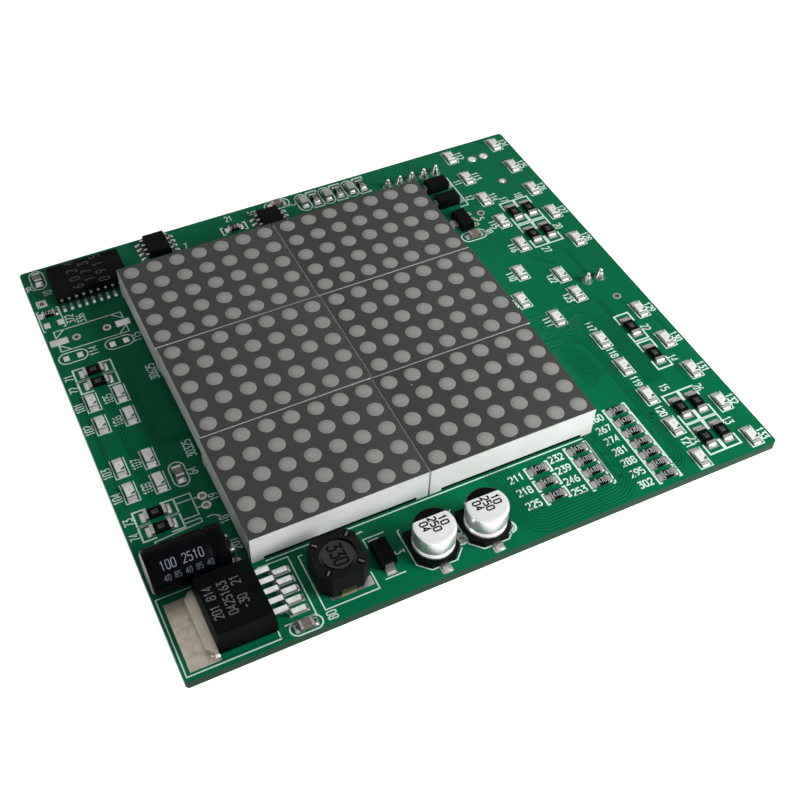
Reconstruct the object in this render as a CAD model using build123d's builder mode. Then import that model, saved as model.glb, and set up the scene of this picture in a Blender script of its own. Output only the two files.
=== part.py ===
from build123d import *
import os

# Dot matrix display: six dot modules on their driver board, sizes in millimetres.
# +X runs along the dot columns, +Y up the dot rows and +Z out of the display's face.
# The origin is the middle of the board in plan, at the foot of the sockets under it.

# Dot modules
MODULE_COLUMNS = 2
MODULE_ROWS = 3
DOT_COLUMNS = 7
DOT_ROWS = 5
DOT_PITCH = 4.0
DOT_DIAMETER = 2.6
DOT_CROWN = 0.08
DOT_SIDES = 14
DOT_MARGIN = 1.96
COLUMN_GAP = 0.32
ROW_GAP = 0.16
HOUSING_HEIGHT = 5.5
HOUSING_WALL = 1.2
FOOT_LENGTH = 1.9
FOOT_HEIGHT = 0.6
FACE_THICKNESS = 0.2
FACE_RIM = 0.22
BASE_THICKNESS = 1.0
BASE_CLEARANCE = 0.1
PIN_PITCH = 2.54
PINS_PER_ROW = 6
PIN_ROW_SPACING = 15.24
JOINT_WIDTH = 1.5
JOINT_TAPER = 20
JOINT_HEIGHT = 1.2

# The modules were set by hand, so each stands a little off: along X, along Y and turned in degrees
MODULE_SHIFTS = [
    (-0.08, -0.02, 0.0),
    (-0.06, -0.02, 0.10),
    (0.15, 0.00, 0.20),
    (0.16, -0.04, 0.05),
    (-0.09, 0.02, 0.12),
    (-0.10, 0.00, -0.06),
]

# Board
BOARD_THICKNESS = 1.6
BOARD_CORNER = 0.6
EDGE_CLEARANCE = 3.0

# Sockets under the board, with contacts that come through it
SOCKET_HEIGHT = 3.6
SOCKET_WIDTH = 2.6
SOCKET_PITCH = 2.5
SOCKET_MOUTH = 0.9
SOCKET_DEPTH = 2.6
CONTACT_WIDTH = 0.6
CONTACT_HOLE_DIAMETER = 1.0
LEAD_HOLE_CLEARANCE = 0.1
CONTACT_TIP = 1.9
CONE_DIAMETER = 1.45
CONE_SIDES = 12
CONE_TAPER = 13
CONE_HEIGHT = 1.3
FLAT_JOINT_HEIGHT = 0.35
FLAT_JOINT_TAPER = 50

# Gull-wing chips
CHIP_STANDOFF = 0.1
CHIP_DRAFT = 7
LEAD_PITCH = 1.27
LEAD_WIDTH = 0.42
LEAD_THICKNESS = 0.25
LEAD_FOOT = 0.8
LEAD_SHOULDER = 0.3
DRIVER_LENGTH = 12.8
DRIVER_WIDTH = 7.3
DRIVER_HEIGHT = 2.3
DRIVER_SPAN = 10.3
DRIVER_LEADS_PER_SIDE = 10
DRIVER_DISPLAY_GAP = 0.2
DRIVER_EDGE_GAP = 1.53
LOGIC_LENGTH = 4.9
LOGIC_WIDTH = 3.9
LOGIC_HEIGHT = 1.5
LOGIC_SPAN = 6.2
LOGIC_LEADS_PER_SIDE = 4

# Power regulator
REGULATOR_LENGTH = 8.6
REGULATOR_WIDTH = 10.2
REGULATOR_HEIGHT = 4.4
REGULATOR_EDGE_GAP = 2.03
REGULATOR_DISPLAY_GAP = 1.3
REGULATOR_LEADS = 5
REGULATOR_PITCH = 1.7
REGULATOR_LEAD_WIDTH = 0.85
REGULATOR_LEAD_THICKNESS = 0.5
REGULATOR_LEAD_REACH = 4.7
REGULATOR_LEAD_FOOT = 2.0
REGULATOR_LEAD_SHOULDER = 1.6
REGULATOR_LEAD_DROP = 2.2
TAB_THICKNESS = 1.27
TAB_OUTSIDE = 1.5
TAB_INSIDE = 5.0
TAB_SIDE_STEP = 1.0
TAB_CHAMFER = 0.9

# Electrolytic capacitor lying on its side
CAN_DIAMETER = 6.7
CAN_LENGTH = 11.5
CAN_EDGE_GAP = 0.45
CAN_REGULATOR_GAP = 0.4
CAN_EDGE = 0.45
CAN_GROOVE_PLACE = 2.3
CAN_GROOVE_WIDTH = 0.9
CAN_GROOVE_DEPTH = 0.3
CAN_RIM = 0.6
BUNG_RECESS = 0.5
BUNG_DEPTH = 1.5
CAN_LEAD_DIAMETER = 0.5
CAN_LEAD_SPACING = 2.5
CAN_LEAD_REACH = 0.9
CAN_LEAD_BEND = 0.5
CAN_LEAD_SIDES = 6
CAN_LEAD_DISPLAY_GAP = 1.93

# Shielded inductor
INDUCTOR_WIDTH = 7.3
INDUCTOR_HEIGHT = 4.5
INDUCTOR_CORNER = 1.3
INDUCTOR_BORE = 5.4
INDUCTOR_CORE = 4.6
INDUCTOR_FLOOR = 1.0
CORE_SINK = 0.15
CLIP_WIDTH = 2.3
CLIP_HEIGHT = 1.1
CLIP_THICKNESS = 0.2

# Power diodes
DIODE_LENGTH = 4.1
DIODE_WIDTH = 2.6
DIODE_HEIGHT = 1.8
DIODE_LEAD_WIDTH = 1.4
DIODE_LEAD_THICKNESS = 0.2
DIODE_LEAD_REACH = 0.75
DIODE_LEAD_FOOT = 0.4
DIODE_LEAD_SHOULDER = 0.1
DIODE_LEAD_DROP = 0.9

# Surface-mount aluminium capacitors
ROUND_CAP_DIAMETER = 6.3
ROUND_CAP_HEIGHT = 5.4
ROUND_CAP_BASE = 6.6
ROUND_CAP_BASE_HEIGHT = 1.1
ROUND_CAP_BASE_CHAMFER = 1.4
ROUND_CAP_SPACING = 8.4
ROUND_CAP_EDGE = 0.3
ROUND_CAP_GROOVE = 0.3
ROUND_CAP_GROOVE_PLACE = 0.9
ROUND_CAP_TERMINAL_WIDTH = 1.1
ROUND_CAP_TERMINAL_REACH = 1.2
ROUND_CAP_TERMINAL_HEIGHT = 0.25

# Three-lead transistor
TRANSISTOR_LENGTH = 4.5
TRANSISTOR_WIDTH = 2.5
TRANSISTOR_HEIGHT = 1.5
TRANSISTOR_PITCH = 1.5
TRANSISTOR_LEAD_WIDTH = 0.48
TRANSISTOR_LEAD_REACH = 0.9
TRANSISTOR_LEAD_HEIGHT = 0.4
TRANSISTOR_TAB_WIDTH = 1.7

# Chips without leads
LARGE_CHIP_LENGTH = 3.2
LARGE_CHIP_WIDTH = 1.6
LARGE_CHIP_HEIGHT = 0.55
SMALL_CHIP_LENGTH = 2.0
SMALL_CHIP_WIDTH = 1.25
SMALL_CHIP_HEIGHT = 0.5
CHIP_CAPACITOR_HEIGHT = 0.9
LED_LENGTH = 3.0
LED_WIDTH = 1.4
LED_BASE_HEIGHT = 0.3
LED_LENS_LENGTH = 1.7
LED_LENS_HEIGHT = 0.65

# Plated holes without a part in them
OPEN_HOLE_DIAMETER = 0.8
HOLE_SIDES = 12
CRYSTAL_HOLE_SPACING = 5.2

# Places on the board, measured inwards from the named edges of the board or the display
# Left of the display, in from the board's left edge, up from the display's middle
LEFT_LED_COLUMNS = [3.0, 7.6]
LEFT_LED_ROWS = [8.3, 3.3, -6.0, -11.0]
LEFT_LARGE_RESISTOR_COLUMN = 5.2
LEFT_LARGE_RESISTOR_ROWS = [14.8, 12.0, -16.1, -18.9]
LEFT_CAPACITOR = (10.7, -10.8)
LEFT_OPEN_HOLES = [(12.45, -16.0), (12.45, -17.8)]
# Rear left, in from the board's left edge, down from the rear edge
REAR_LEFT_CAPACITOR = (2.55, 2.8)
REAR_LEFT_RESISTOR = (2.1, 11.7)
REAR_LEFT_OPEN_HOLE = (1.65, 8.8)
CRYSTAL_PLACE = (7.45, 18.75)
# Along the rear edge, from the display's left side, down from the rear edge
DRIVER_PLACE = -4.2
LOGIC_PLACES = [(9.25, 3.5), (30.3, 5.7)]
REAR_RESISTOR = (23.5, 4.45)
REAR_CAPACITOR = (33.0, 1.55)
REAR_ROW_START = 37.7
REAR_ROW_PITCH = 2.36
REAR_ROW_COUNT = 6
REAR_ROW_DEPTH = 3.05
LONG_SOCKET_PLACE = (58.77, 5.7)
LONG_SOCKET_WAYS = 5
REAR_SOCKET_PLACE = (73.33, 4.95)
REAR_SOCKET_WAYS = 2
# Right of the display, out from its right side, down from the rear edge
REAR_DIODES = [(5.55, 9.9), (5.4, 14.55)]
TRANSISTOR_PLACE = (5.5, 20.4)
RIGHT_CAPACITOR = (5.7, 24.4)
INNER_COLUMN = 12.2
REAR_INNER_LEDS = [2.8, 9.6, 16.3, 23.1, 30.0]
OUTER_COLUMN = 21.9
REAR_OUTER_LEDS = [2.8, 10.0, 17.4, 24.7, 32.9]
RIGHT_RESISTOR_COLUMNS = [15.4, 18.4]
REAR_RIGHT_RESISTOR_ROWS = [22.0, 28.7]
RIGHT_OPEN_HOLES = [(9.8, 19.5), (18.0, 13.1)]
# Right of the display, out from its right side, up from the display's middle
SIDE_SOCKET_PLACE = (18.9, -1.05)
SIDE_SOCKET_WAYS = 2
MIDDLE_LEDS = [(8.2, 5.7), (5.0, -0.4), (14.4, 2.3), (14.4, -2.95), (8.2, -6.5)]
MIDDLE_OPEN_HOLE = (20.3, -6.3)
# Right of the display, out from its right side, up from the front edge
FRONT_INNER_LEDS = [2.3, 9.2, 16.1, 23.0, 29.6]
FRONT_OUTER_LEDS = [2.5, 10.2, 17.9, 25.3, 32.9]
SINGLE_RESISTOR_COLUMN = 18.3
SINGLE_RESISTOR_ROWS = [30.0, 23.2]
FRONT_RIGHT_RESISTOR_ROWS = [11.8, 5.3]
BANK_START = 1.8
BANK_PITCH = 2.28
BANK_COUNT = 7
BANK_COLUMN = 5.9
# In front of the display, from its left side, up from the front edge
REGULATOR_PLACE = -5.0
FRONT_CAPACITOR = (3.0, 1.2)
INDUCTOR_PLACE = (10.4, 7.2)
FRONT_DIODE = (17.15, 6.75)
ROUND_CAP_PLACE = (28.6, 5.3)
FRONT_OPEN_HOLES = [(28.7, 4.7), (36.0, 3.5)]
FRONT_BANKS = [(45.0, [10.7, 8.1, 5.5]), (52.4, [11.5, 9.25, 7.0, 4.8])]

# Worked out from the sizes above
module_length = (DOT_COLUMNS - 1) * DOT_PITCH + 2 * DOT_MARGIN
module_width = (DOT_ROWS - 1) * DOT_PITCH + 2 * DOT_MARGIN
display_length = MODULE_COLUMNS * (module_length + COLUMN_GAP) - COLUMN_GAP
display_width = MODULE_ROWS * (module_width + ROW_GAP) - ROW_GAP
left_band = CAN_EDGE_GAP + CAN_LENGTH + CAN_LEAD_REACH + CAN_LEAD_DISPLAY_GAP
right_band = OUTER_COLUMN + EDGE_CLEARANCE
front_band = REGULATOR_EDGE_GAP + REGULATOR_WIDTH + REGULATOR_DISPLAY_GAP
rear_band = DRIVER_DISPLAY_GAP + DRIVER_SPAN + DRIVER_EDGE_GAP
board_length = left_band + display_length + right_band
board_width = front_band + display_width + rear_band
board_left = -board_length / 2
board_front = -board_width / 2
board_rear = board_width / 2
display_left = board_left + left_band
display_right = display_left + display_length
display_front = board_front + front_band
display_middle = display_front + display_width / 2
board_bottom = SOCKET_HEIGHT
board_top = board_bottom + BOARD_THICKNESS
face_bottom = board_top + HOUSING_HEIGHT
face_top = face_bottom + FACE_THICKNESS


def module_plane(index, height):
    """The plane of one module at a height, with the small turn it was set at."""
    column = index % MODULE_COLUMNS
    row = index // MODULE_COLUMNS
    shift_x, shift_y, turn = MODULE_SHIFTS[index]
    x = display_left + module_length / 2 + column * (module_length + COLUMN_GAP) + shift_x
    y = display_front + display_width - module_width / 2 - row * (module_width + ROW_GAP) + shift_y
    return Plane(origin=(x, y, height)).rotated((0, 0, turn))


def beside_left(places):
    """Places given in from the board's left edge and up from the display's middle."""
    return [(board_left + x, display_middle + y) for x, y in places]


def rear_left(places):
    """Places given in from the board's left and rear edges."""
    return [(board_left + x, board_rear - y) for x, y in places]


def along_rear(places):
    """Places given from the display's left side and down from the rear edge."""
    return [(display_left + x, board_rear - y) for x, y in places]


def rear_right(places):
    """Places given out from the display's right side and down from the rear edge."""
    return [(display_right + x, board_rear - y) for x, y in places]


def beside_right(places):
    """Places given out from the display's right side and up from its middle."""
    return [(display_right + x, display_middle + y) for x, y in places]


def front_right(places):
    """Places given out from the display's right side and up from the front edge."""
    return [(display_right + x, board_front + y) for x, y in places]


def along_front(places):
    """Places given from the display's left side and up from the front edge."""
    return [(display_left + x, board_front + y) for x, y in places]


def pairs(columns, rows):
    """Every column with every row."""
    return [(column, row) for column in columns for row in rows]


def row_offsets(count, pitch):
    """Offsets of a centred row of evenly spaced items."""
    return [(index - (count - 1) / 2) * pitch for index in range(count)]


# Where the soldered-in sockets stand
long_socket = along_rear([LONG_SOCKET_PLACE])[0]
rear_socket = along_rear([REAR_SOCKET_PLACE])[0]
side_socket = beside_right([SIDE_SOCKET_PLACE])[0]


def contact_places(place, ways):
    """The contacts of one socket, in a row along X."""
    return [(place[0] + offset, place[1]) for offset in row_offsets(ways, SOCKET_PITCH)]


cone_places = contact_places(long_socket, LONG_SOCKET_WAYS) + contact_places(side_socket, SIDE_SOCKET_WAYS)
flat_joint_places = contact_places(rear_socket, REAR_SOCKET_WAYS)

# Where the electrolytic capacitor lies and its leads go down
can_radius = CAN_DIAMETER / 2
can_left = board_left + CAN_EDGE_GAP
can_right = can_left + CAN_LENGTH
can_y = board_front + REGULATOR_EDGE_GAP + REGULATOR_WIDTH + CAN_REGULATOR_GAP + can_radius
can_axis_height = board_top + can_radius
can_lead_x = can_right + CAN_LEAD_REACH
can_lead_places = [(can_lead_x, can_y + offset) for offset in row_offsets(2, CAN_LEAD_SPACING)]

crystal_middle = rear_left([CRYSTAL_PLACE])[0]
open_holes = (
    beside_left(LEFT_OPEN_HOLES)
    + rear_left([REAR_LEFT_OPEN_HOLE])
    + [(crystal_middle[0] + offset, crystal_middle[1]) for offset in row_offsets(2, CRYSTAL_HOLE_SPACING)]
    + rear_right(RIGHT_OPEN_HOLES)
    + beside_right([MIDDLE_OPEN_HOLE])
    + along_front(FRONT_OPEN_HOLES)
)

os.makedirs("parts", exist_ok=True)


def export_piece(piece, name):
    """Label a finished piece and write it."""
    piece.part.label = name
    export_step(piece.part, f"parts/{name}.step")


# Circuit board with its drilled holes
with BuildPart() as circuit_board:
    with BuildSketch(Plane.XY.offset(board_bottom)):
        RectangleRounded(board_length, board_width, BOARD_CORNER)
        with Locations(*(cone_places + flat_joint_places)):
            RegularPolygon(CONTACT_HOLE_DIAMETER / 2, HOLE_SIDES, mode=Mode.SUBTRACT)
        with Locations(*can_lead_places):
            RegularPolygon(CAN_LEAD_DIAMETER / 2 + LEAD_HOLE_CLEARANCE, HOLE_SIDES, mode=Mode.SUBTRACT)
        with Locations(*open_holes):
            RegularPolygon(OPEN_HOLE_DIAMETER / 2, HOLE_SIDES, mode=Mode.SUBTRACT)
    extrude(amount=BOARD_THICKNESS)
export_piece(circuit_board, "circuit_board")

# Display modules: a moulded housing on four feet, a base plate in its skirt and a dark face
for module in range(MODULE_COLUMNS * MODULE_ROWS):
    skirt_length = module_length - 2 * HOUSING_WALL
    skirt_width = module_width - 2 * HOUSING_WALL
    with BuildPart() as display_housing:
        with BuildSketch(module_plane(module, board_top + FOOT_HEIGHT)):
            Rectangle(module_length, module_width)
        extrude(amount=HOUSING_HEIGHT - FOOT_HEIGHT)
        with BuildSketch(module_plane(module, board_top + FOOT_HEIGHT)):
            Rectangle(skirt_length, skirt_width)
        extrude(amount=BASE_THICKNESS, mode=Mode.SUBTRACT)
        with BuildSketch(module_plane(module, board_top)):
            with GridLocations(module_length - FOOT_LENGTH, module_width - HOUSING_WALL, 2, 2):
                Rectangle(FOOT_LENGTH, HOUSING_WALL)
        extrude(amount=FOOT_HEIGHT)
    export_piece(display_housing, f"display_housing_{module + 1}")

    with BuildPart() as display_base:
        with BuildSketch(module_plane(module, board_top + FOOT_HEIGHT)):
            Rectangle(skirt_length - 2 * BASE_CLEARANCE, skirt_width - 2 * BASE_CLEARANCE)
        extrude(amount=BASE_THICKNESS)
    export_piece(display_base, f"display_base_{module + 1}")

    with BuildPart() as display_face:
        with BuildSketch(module_plane(module, face_bottom)):
            Rectangle(module_length - 2 * FACE_RIM, module_width - 2 * FACE_RIM)
        extrude(amount=FACE_THICKNESS)
    export_piece(display_face, f"display_face_{module + 1}")

# The dots, each a low crowned lens that stands a hair proud of the face
with BuildPart() as dot:
    with BuildSketch() as dot_outline:
        RegularPolygon(DOT_DIAMETER / 2, DOT_SIDES)
    loft(sections=[dot_outline.sketch.faces()[0], Vertex(0, 0, DOT_CROWN)], ruled=True)

with BuildPart() as display_dots:
    for module in range(MODULE_COLUMNS * MODULE_ROWS):
        with Locations(module_plane(module, face_top)):
            with GridLocations(DOT_PITCH, DOT_PITCH, DOT_COLUMNS, DOT_ROWS):
                add(dot.part)
export_piece(display_dots, "display_dots")

# The modules' pins end in tapered solder joints under the board
with BuildPart() as joint:
    with BuildSketch(Plane.XY):
        Rectangle(JOINT_WIDTH, JOINT_WIDTH)
    extrude(amount=JOINT_HEIGHT, taper=JOINT_TAPER)

for module in range(MODULE_COLUMNS * MODULE_ROWS):
    with BuildPart() as display_joints:
        with Locations(module_plane(module, board_bottom)):
            with GridLocations(PIN_PITCH, PIN_ROW_SPACING, PINS_PER_ROW, 2):
                add(joint.part, rotation=(180, 0, 0))
    export_piece(display_joints, f"display_joints_{module + 1}")


def gull_wing(width, thickness, reach, shoulder, foot, drop):
    """One bent lead that leaves the body's side at the origin and runs out along +Y to its foot."""
    with BuildPart() as lead:
        with BuildSketch(Plane.YZ):
            with BuildLine():
                Polyline(
                    (0, drop),
                    (shoulder, drop),
                    (reach - foot - thickness, 0),
                    (reach, 0),
                    (reach, thickness),
                    (reach - foot, thickness),
                    (shoulder + thickness, drop + thickness),
                    (0, drop + thickness),
                    close=True,
                )
            make_face()
        extrude(amount=width / 2, both=True)
    return lead.part


def facing(places, turn):
    """Standing places on the board's top, turned about Z."""
    return [Location((x, y, board_top), (0, 0, turn)) for x, y in places]


def moulded_body(length, width, height, places):
    """Moulded chip bodies with sides that draw in above and below their middle."""
    with BuildPart() as body:
        with BuildSketch(Plane.XY.offset(board_top + CHIP_STANDOFF + height / 2)):
            with Locations(*places):
                Rectangle(length, width)
        extrude(amount=height / 2, taper=CHIP_DRAFT, both=True)
    return body


def leads_both_sides(lead, body_width, offsets, places):
    """A row of leads on the front and the rear side of every body at the given places."""
    front = [(x + offset, y - body_width / 2) for x, y in places for offset in offsets]
    rear = [(x + offset, y + body_width / 2) for x, y in places for offset in offsets]
    with BuildPart() as leads:
        with Locations(*(facing(rear, 0) + facing(front, 180))):
            add(lead)
    return leads


def leads_both_ends(lead, body_length, offsets, places):
    """A row of leads on the left and the right end of every body at the given places."""
    left = [(x - body_length / 2, y + offset) for x, y in places for offset in offsets]
    right = [(x + body_length / 2, y + offset) for x, y in places for offset in offsets]
    with BuildPart() as leads:
        with Locations(*(facing(right, -90) + facing(left, 90))):
            add(lead)
    return leads


# Wide driver chip at the rear left corner
driver_place = (display_left + DRIVER_PLACE, board_rear - DRIVER_EDGE_GAP - DRIVER_SPAN / 2)
driver_chip = moulded_body(DRIVER_LENGTH, DRIVER_WIDTH, DRIVER_HEIGHT, [driver_place])
export_piece(driver_chip, "driver_chip")

driver_lead = gull_wing(
    LEAD_WIDTH,
    LEAD_THICKNESS,
    (DRIVER_SPAN - DRIVER_WIDTH) / 2,
    LEAD_SHOULDER,
    LEAD_FOOT,
    CHIP_STANDOFF + (DRIVER_HEIGHT - LEAD_THICKNESS) / 2,
)
driver_offsets = row_offsets(DRIVER_LEADS_PER_SIDE, LEAD_PITCH)
driver_leads = leads_both_sides(driver_lead, DRIVER_WIDTH, driver_offsets, [driver_place])
export_piece(driver_leads, "driver_leads")

# Two small chips along the rear edge, their leads to the left and right
logic_places = along_rear(LOGIC_PLACES)
logic_chips = moulded_body(LOGIC_WIDTH, LOGIC_LENGTH, LOGIC_HEIGHT, logic_places)
export_piece(logic_chips, "logic_chips")

logic_lead = gull_wing(
    LEAD_WIDTH,
    LEAD_THICKNESS,
    (LOGIC_SPAN - LOGIC_WIDTH) / 2,
    LEAD_SHOULDER,
    LEAD_FOOT / 2,
    CHIP_STANDOFF + (LOGIC_HEIGHT - LEAD_THICKNESS) / 2,
)
logic_offsets = row_offsets(LOGIC_LEADS_PER_SIDE, LEAD_PITCH)
logic_leads = leads_both_ends(logic_lead, LOGIC_WIDTH, logic_offsets, logic_places)
export_piece(logic_leads, "logic_leads")

# Power regulator at the front left corner: body, tab under it, and five leads
regulator_x = display_left + REGULATOR_PLACE
regulator_y = board_front + REGULATOR_EDGE_GAP + REGULATOR_WIDTH / 2
regulator_tail = regulator_x - REGULATOR_LENGTH / 2
tab_inner_width = REGULATOR_WIDTH - 2 * TAB_SIDE_STEP

with BuildPart() as regulator_tab:
    with BuildSketch(Plane.XY.offset(board_top)):
        with Locations((regulator_tail - TAB_OUTSIDE / 2, regulator_y)):
            Rectangle(TAB_OUTSIDE, REGULATOR_WIDTH)
        chamfer(vertices().group_by(Axis.X)[0], TAB_CHAMFER)
        with Locations((regulator_tail + TAB_INSIDE / 2, regulator_y)):
            Rectangle(TAB_INSIDE, tab_inner_width)
    extrude(amount=TAB_THICKNESS)
export_piece(regulator_tab, "regulator_tab")

with BuildPart() as regulator_body:
    with BuildSketch(Plane.XY.offset(board_top)):
        with Locations((regulator_x, regulator_y)):
            Rectangle(REGULATOR_LENGTH, REGULATOR_WIDTH)
    extrude(amount=REGULATOR_HEIGHT / 2)
    with BuildSketch(Plane.XY.offset(board_top + REGULATOR_HEIGHT / 2)):
        with Locations((regulator_x, regulator_y)):
            Rectangle(REGULATOR_LENGTH, REGULATOR_WIDTH)
    extrude(amount=REGULATOR_HEIGHT / 2, taper=CHIP_DRAFT)
    with BuildSketch(Plane.XY.offset(board_top)):
        with Locations((regulator_tail + TAB_INSIDE / 2, regulator_y)):
            Rectangle(TAB_INSIDE, tab_inner_width)
    extrude(amount=TAB_THICKNESS, mode=Mode.SUBTRACT)
export_piece(regulator_body, "regulator_body")

regulator_lead = gull_wing(
    REGULATOR_LEAD_WIDTH,
    REGULATOR_LEAD_THICKNESS,
    REGULATOR_LEAD_REACH,
    REGULATOR_LEAD_SHOULDER,
    REGULATOR_LEAD_FOOT,
    REGULATOR_LEAD_DROP - REGULATOR_LEAD_THICKNESS,
)
regulator_lead_places = [
    (regulator_x + REGULATOR_LENGTH / 2, regulator_y + offset)
    for offset in row_offsets(REGULATOR_LEADS, REGULATOR_PITCH)
]
with BuildPart() as regulator_leads:
    with Locations(*facing(regulator_lead_places, -90)):
        add(regulator_lead)
export_piece(regulator_leads, "regulator_leads")

# Electrolytic capacitor on its side, axis along X, drawn as half sections and revolved
can_section = Plane(origin=(can_left, can_y, can_axis_height), x_dir=(1, 0, 0), z_dir=(0, -1, 0))
can_axis = Axis((can_left, can_y, can_axis_height), (1, 0, 0))
groove_middle = CAN_LENGTH - CAN_GROOVE_PLACE
bung_radius = can_radius - CAN_RIM

with BuildPart() as capacitor_can:
    with BuildSketch(can_section):
        with BuildLine():
            Polyline(
                (CAN_LENGTH - BUNG_DEPTH, 0),
                (0, 0),
                (0, can_radius - CAN_EDGE),
                (CAN_EDGE, can_radius),
                (groove_middle - CAN_GROOVE_WIDTH / 2, can_radius),
                (groove_middle, can_radius - CAN_GROOVE_DEPTH),
                (groove_middle + CAN_GROOVE_WIDTH / 2, can_radius),
                (CAN_LENGTH, can_radius),
                (CAN_LENGTH, bung_radius),
                (CAN_LENGTH - BUNG_DEPTH, bung_radius),
                close=True,
            )
        make_face()
    revolve(axis=can_axis)
export_piece(capacitor_can, "capacitor_can")

with BuildPart() as capacitor_bung:
    with BuildSketch(Plane(origin=(can_right - BUNG_DEPTH, can_y, can_axis_height), z_dir=(1, 0, 0))):
        Circle(bung_radius)
    extrude(amount=BUNG_DEPTH - BUNG_RECESS)
export_piece(capacitor_bung, "capacitor_bung")

with BuildPart() as capacitor_leads:
    for lead_x, lead_y in can_lead_places:
        with BuildLine() as lead_path:
            FilletPolyline(
                (can_right - BUNG_RECESS, lead_y, can_axis_height),
                (lead_x, lead_y, can_axis_height),
                (lead_x, lead_y, board_bottom - JOINT_HEIGHT),
                radius=CAN_LEAD_BEND,
            )
        with BuildSketch(Plane(origin=(can_right - BUNG_RECESS, lead_y, can_axis_height), z_dir=(1, 0, 0))):
            RegularPolygon(CAN_LEAD_DIAMETER / 2, CAN_LEAD_SIDES)
        sweep(path=lead_path.line)
export_piece(capacitor_leads, "capacitor_leads")

# Shielded inductor: a square shield with cut corners round a drum core, and a clip at each end
inductor_place = along_front([INDUCTOR_PLACE])[0]

with BuildPart() as inductor_shield:
    with BuildSketch(Plane.XY.offset(board_top)):
        with Locations(inductor_place):
            Rectangle(INDUCTOR_WIDTH, INDUCTOR_WIDTH)
        chamfer(vertices(), INDUCTOR_CORNER)
    extrude(amount=INDUCTOR_HEIGHT)
    with BuildSketch(Plane.XY.offset(board_top + INDUCTOR_FLOOR)):
        with Locations(inductor_place):
            Circle(INDUCTOR_BORE / 2)
    extrude(amount=INDUCTOR_HEIGHT - INDUCTOR_FLOOR, mode=Mode.SUBTRACT)
export_piece(inductor_shield, "inductor_shield")

with BuildPart() as inductor_core:
    with BuildSketch(Plane.XY.offset(board_top + INDUCTOR_FLOOR)):
        with Locations(inductor_place):
            Circle(INDUCTOR_CORE / 2)
    extrude(amount=INDUCTOR_HEIGHT - INDUCTOR_FLOOR - CORE_SINK)
export_piece(inductor_core, "inductor_core")

with BuildPart() as inductor_clips:
    with BuildSketch(Plane.XY.offset(board_top)):
        with Locations(inductor_place):
            with GridLocations(0, INDUCTOR_WIDTH + CLIP_THICKNESS, 1, 2):
                Rectangle(CLIP_WIDTH, CLIP_THICKNESS)
    extrude(amount=CLIP_HEIGHT)
export_piece(inductor_clips, "inductor_clips")

# Power diodes: one in front standing along Y, two at the rear right lying along X
front_diode_places = along_front([FRONT_DIODE])
rear_diode_places = rear_right(REAR_DIODES)

with BuildPart() as diode_bodies:
    with BuildSketch(Plane.XY.offset(board_top + CHIP_STANDOFF + DIODE_HEIGHT / 2)):
        with Locations(*front_diode_places):
            Rectangle(DIODE_WIDTH, DIODE_LENGTH)
        with Locations(*rear_diode_places):
            Rectangle(DIODE_LENGTH, DIODE_WIDTH)
    extrude(amount=DIODE_HEIGHT / 2, taper=CHIP_DRAFT, both=True)
export_piece(diode_bodies, "diode_bodies")

diode_lead = gull_wing(
    DIODE_LEAD_WIDTH,
    DIODE_LEAD_THICKNESS,
    DIODE_LEAD_REACH,
    DIODE_LEAD_SHOULDER,
    DIODE_LEAD_FOOT,
    DIODE_LEAD_DROP,
)
diode_half = DIODE_LENGTH / 2
with BuildPart() as diode_leads:
    with Locations(*facing([(x, y + diode_half) for x, y in front_diode_places], 0)):
        add(diode_lead)
    with Locations(*facing([(x, y - diode_half) for x, y in front_diode_places], 180)):
        add(diode_lead)
    with Locations(*facing([(x + diode_half, y) for x, y in rear_diode_places], -90)):
        add(diode_lead)
    with Locations(*facing([(x - diode_half, y) for x, y in rear_diode_places], 90)):
        add(diode_lead)
export_piece(diode_leads, "diode_leads")

# Two surface-mount aluminium capacitors: plastic base, crimped can, and a terminal at each end
round_cap_start = along_front([ROUND_CAP_PLACE])[0]
round_cap_places = [(round_cap_start[0] + offset, round_cap_start[1]) for offset in row_offsets(2, ROUND_CAP_SPACING)]
round_cap_radius = ROUND_CAP_DIAMETER / 2
can_bottom = ROUND_CAP_BASE_HEIGHT
groove_height = can_bottom + ROUND_CAP_GROOVE_PLACE

with BuildPart() as round_cap_bases:
    with BuildSketch(Plane.XY.offset(board_top)):
        with Locations(*round_cap_places):
            Rectangle(ROUND_CAP_BASE, ROUND_CAP_BASE)
        chamfer(vertices().group_by(Axis.Y)[0], ROUND_CAP_BASE_CHAMFER)
    extrude(amount=ROUND_CAP_BASE_HEIGHT)
export_piece(round_cap_bases, "round_cap_bases")

with BuildPart() as round_cap_cans:
    for cap_x, cap_y in round_cap_places:
        with BuildSketch(Plane(origin=(cap_x, cap_y, board_top), x_dir=(1, 0, 0), z_dir=(0, -1, 0))):
            with BuildLine():
                Polyline(
                    (0, can_bottom),
                    (round_cap_radius, can_bottom),
                    (round_cap_radius, groove_height - ROUND_CAP_GROOVE),
                    (round_cap_radius - ROUND_CAP_GROOVE, groove_height),
                    (round_cap_radius, groove_height + ROUND_CAP_GROOVE),
                    (round_cap_radius, ROUND_CAP_HEIGHT - ROUND_CAP_EDGE),
                    (round_cap_radius - ROUND_CAP_EDGE, ROUND_CAP_HEIGHT),
                    (0, ROUND_CAP_HEIGHT),
                    close=True,
                )
            make_face()
        revolve(axis=Axis((cap_x, cap_y, board_top), (0, 0, 1)))
export_piece(round_cap_cans, "round_cap_cans")

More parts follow.
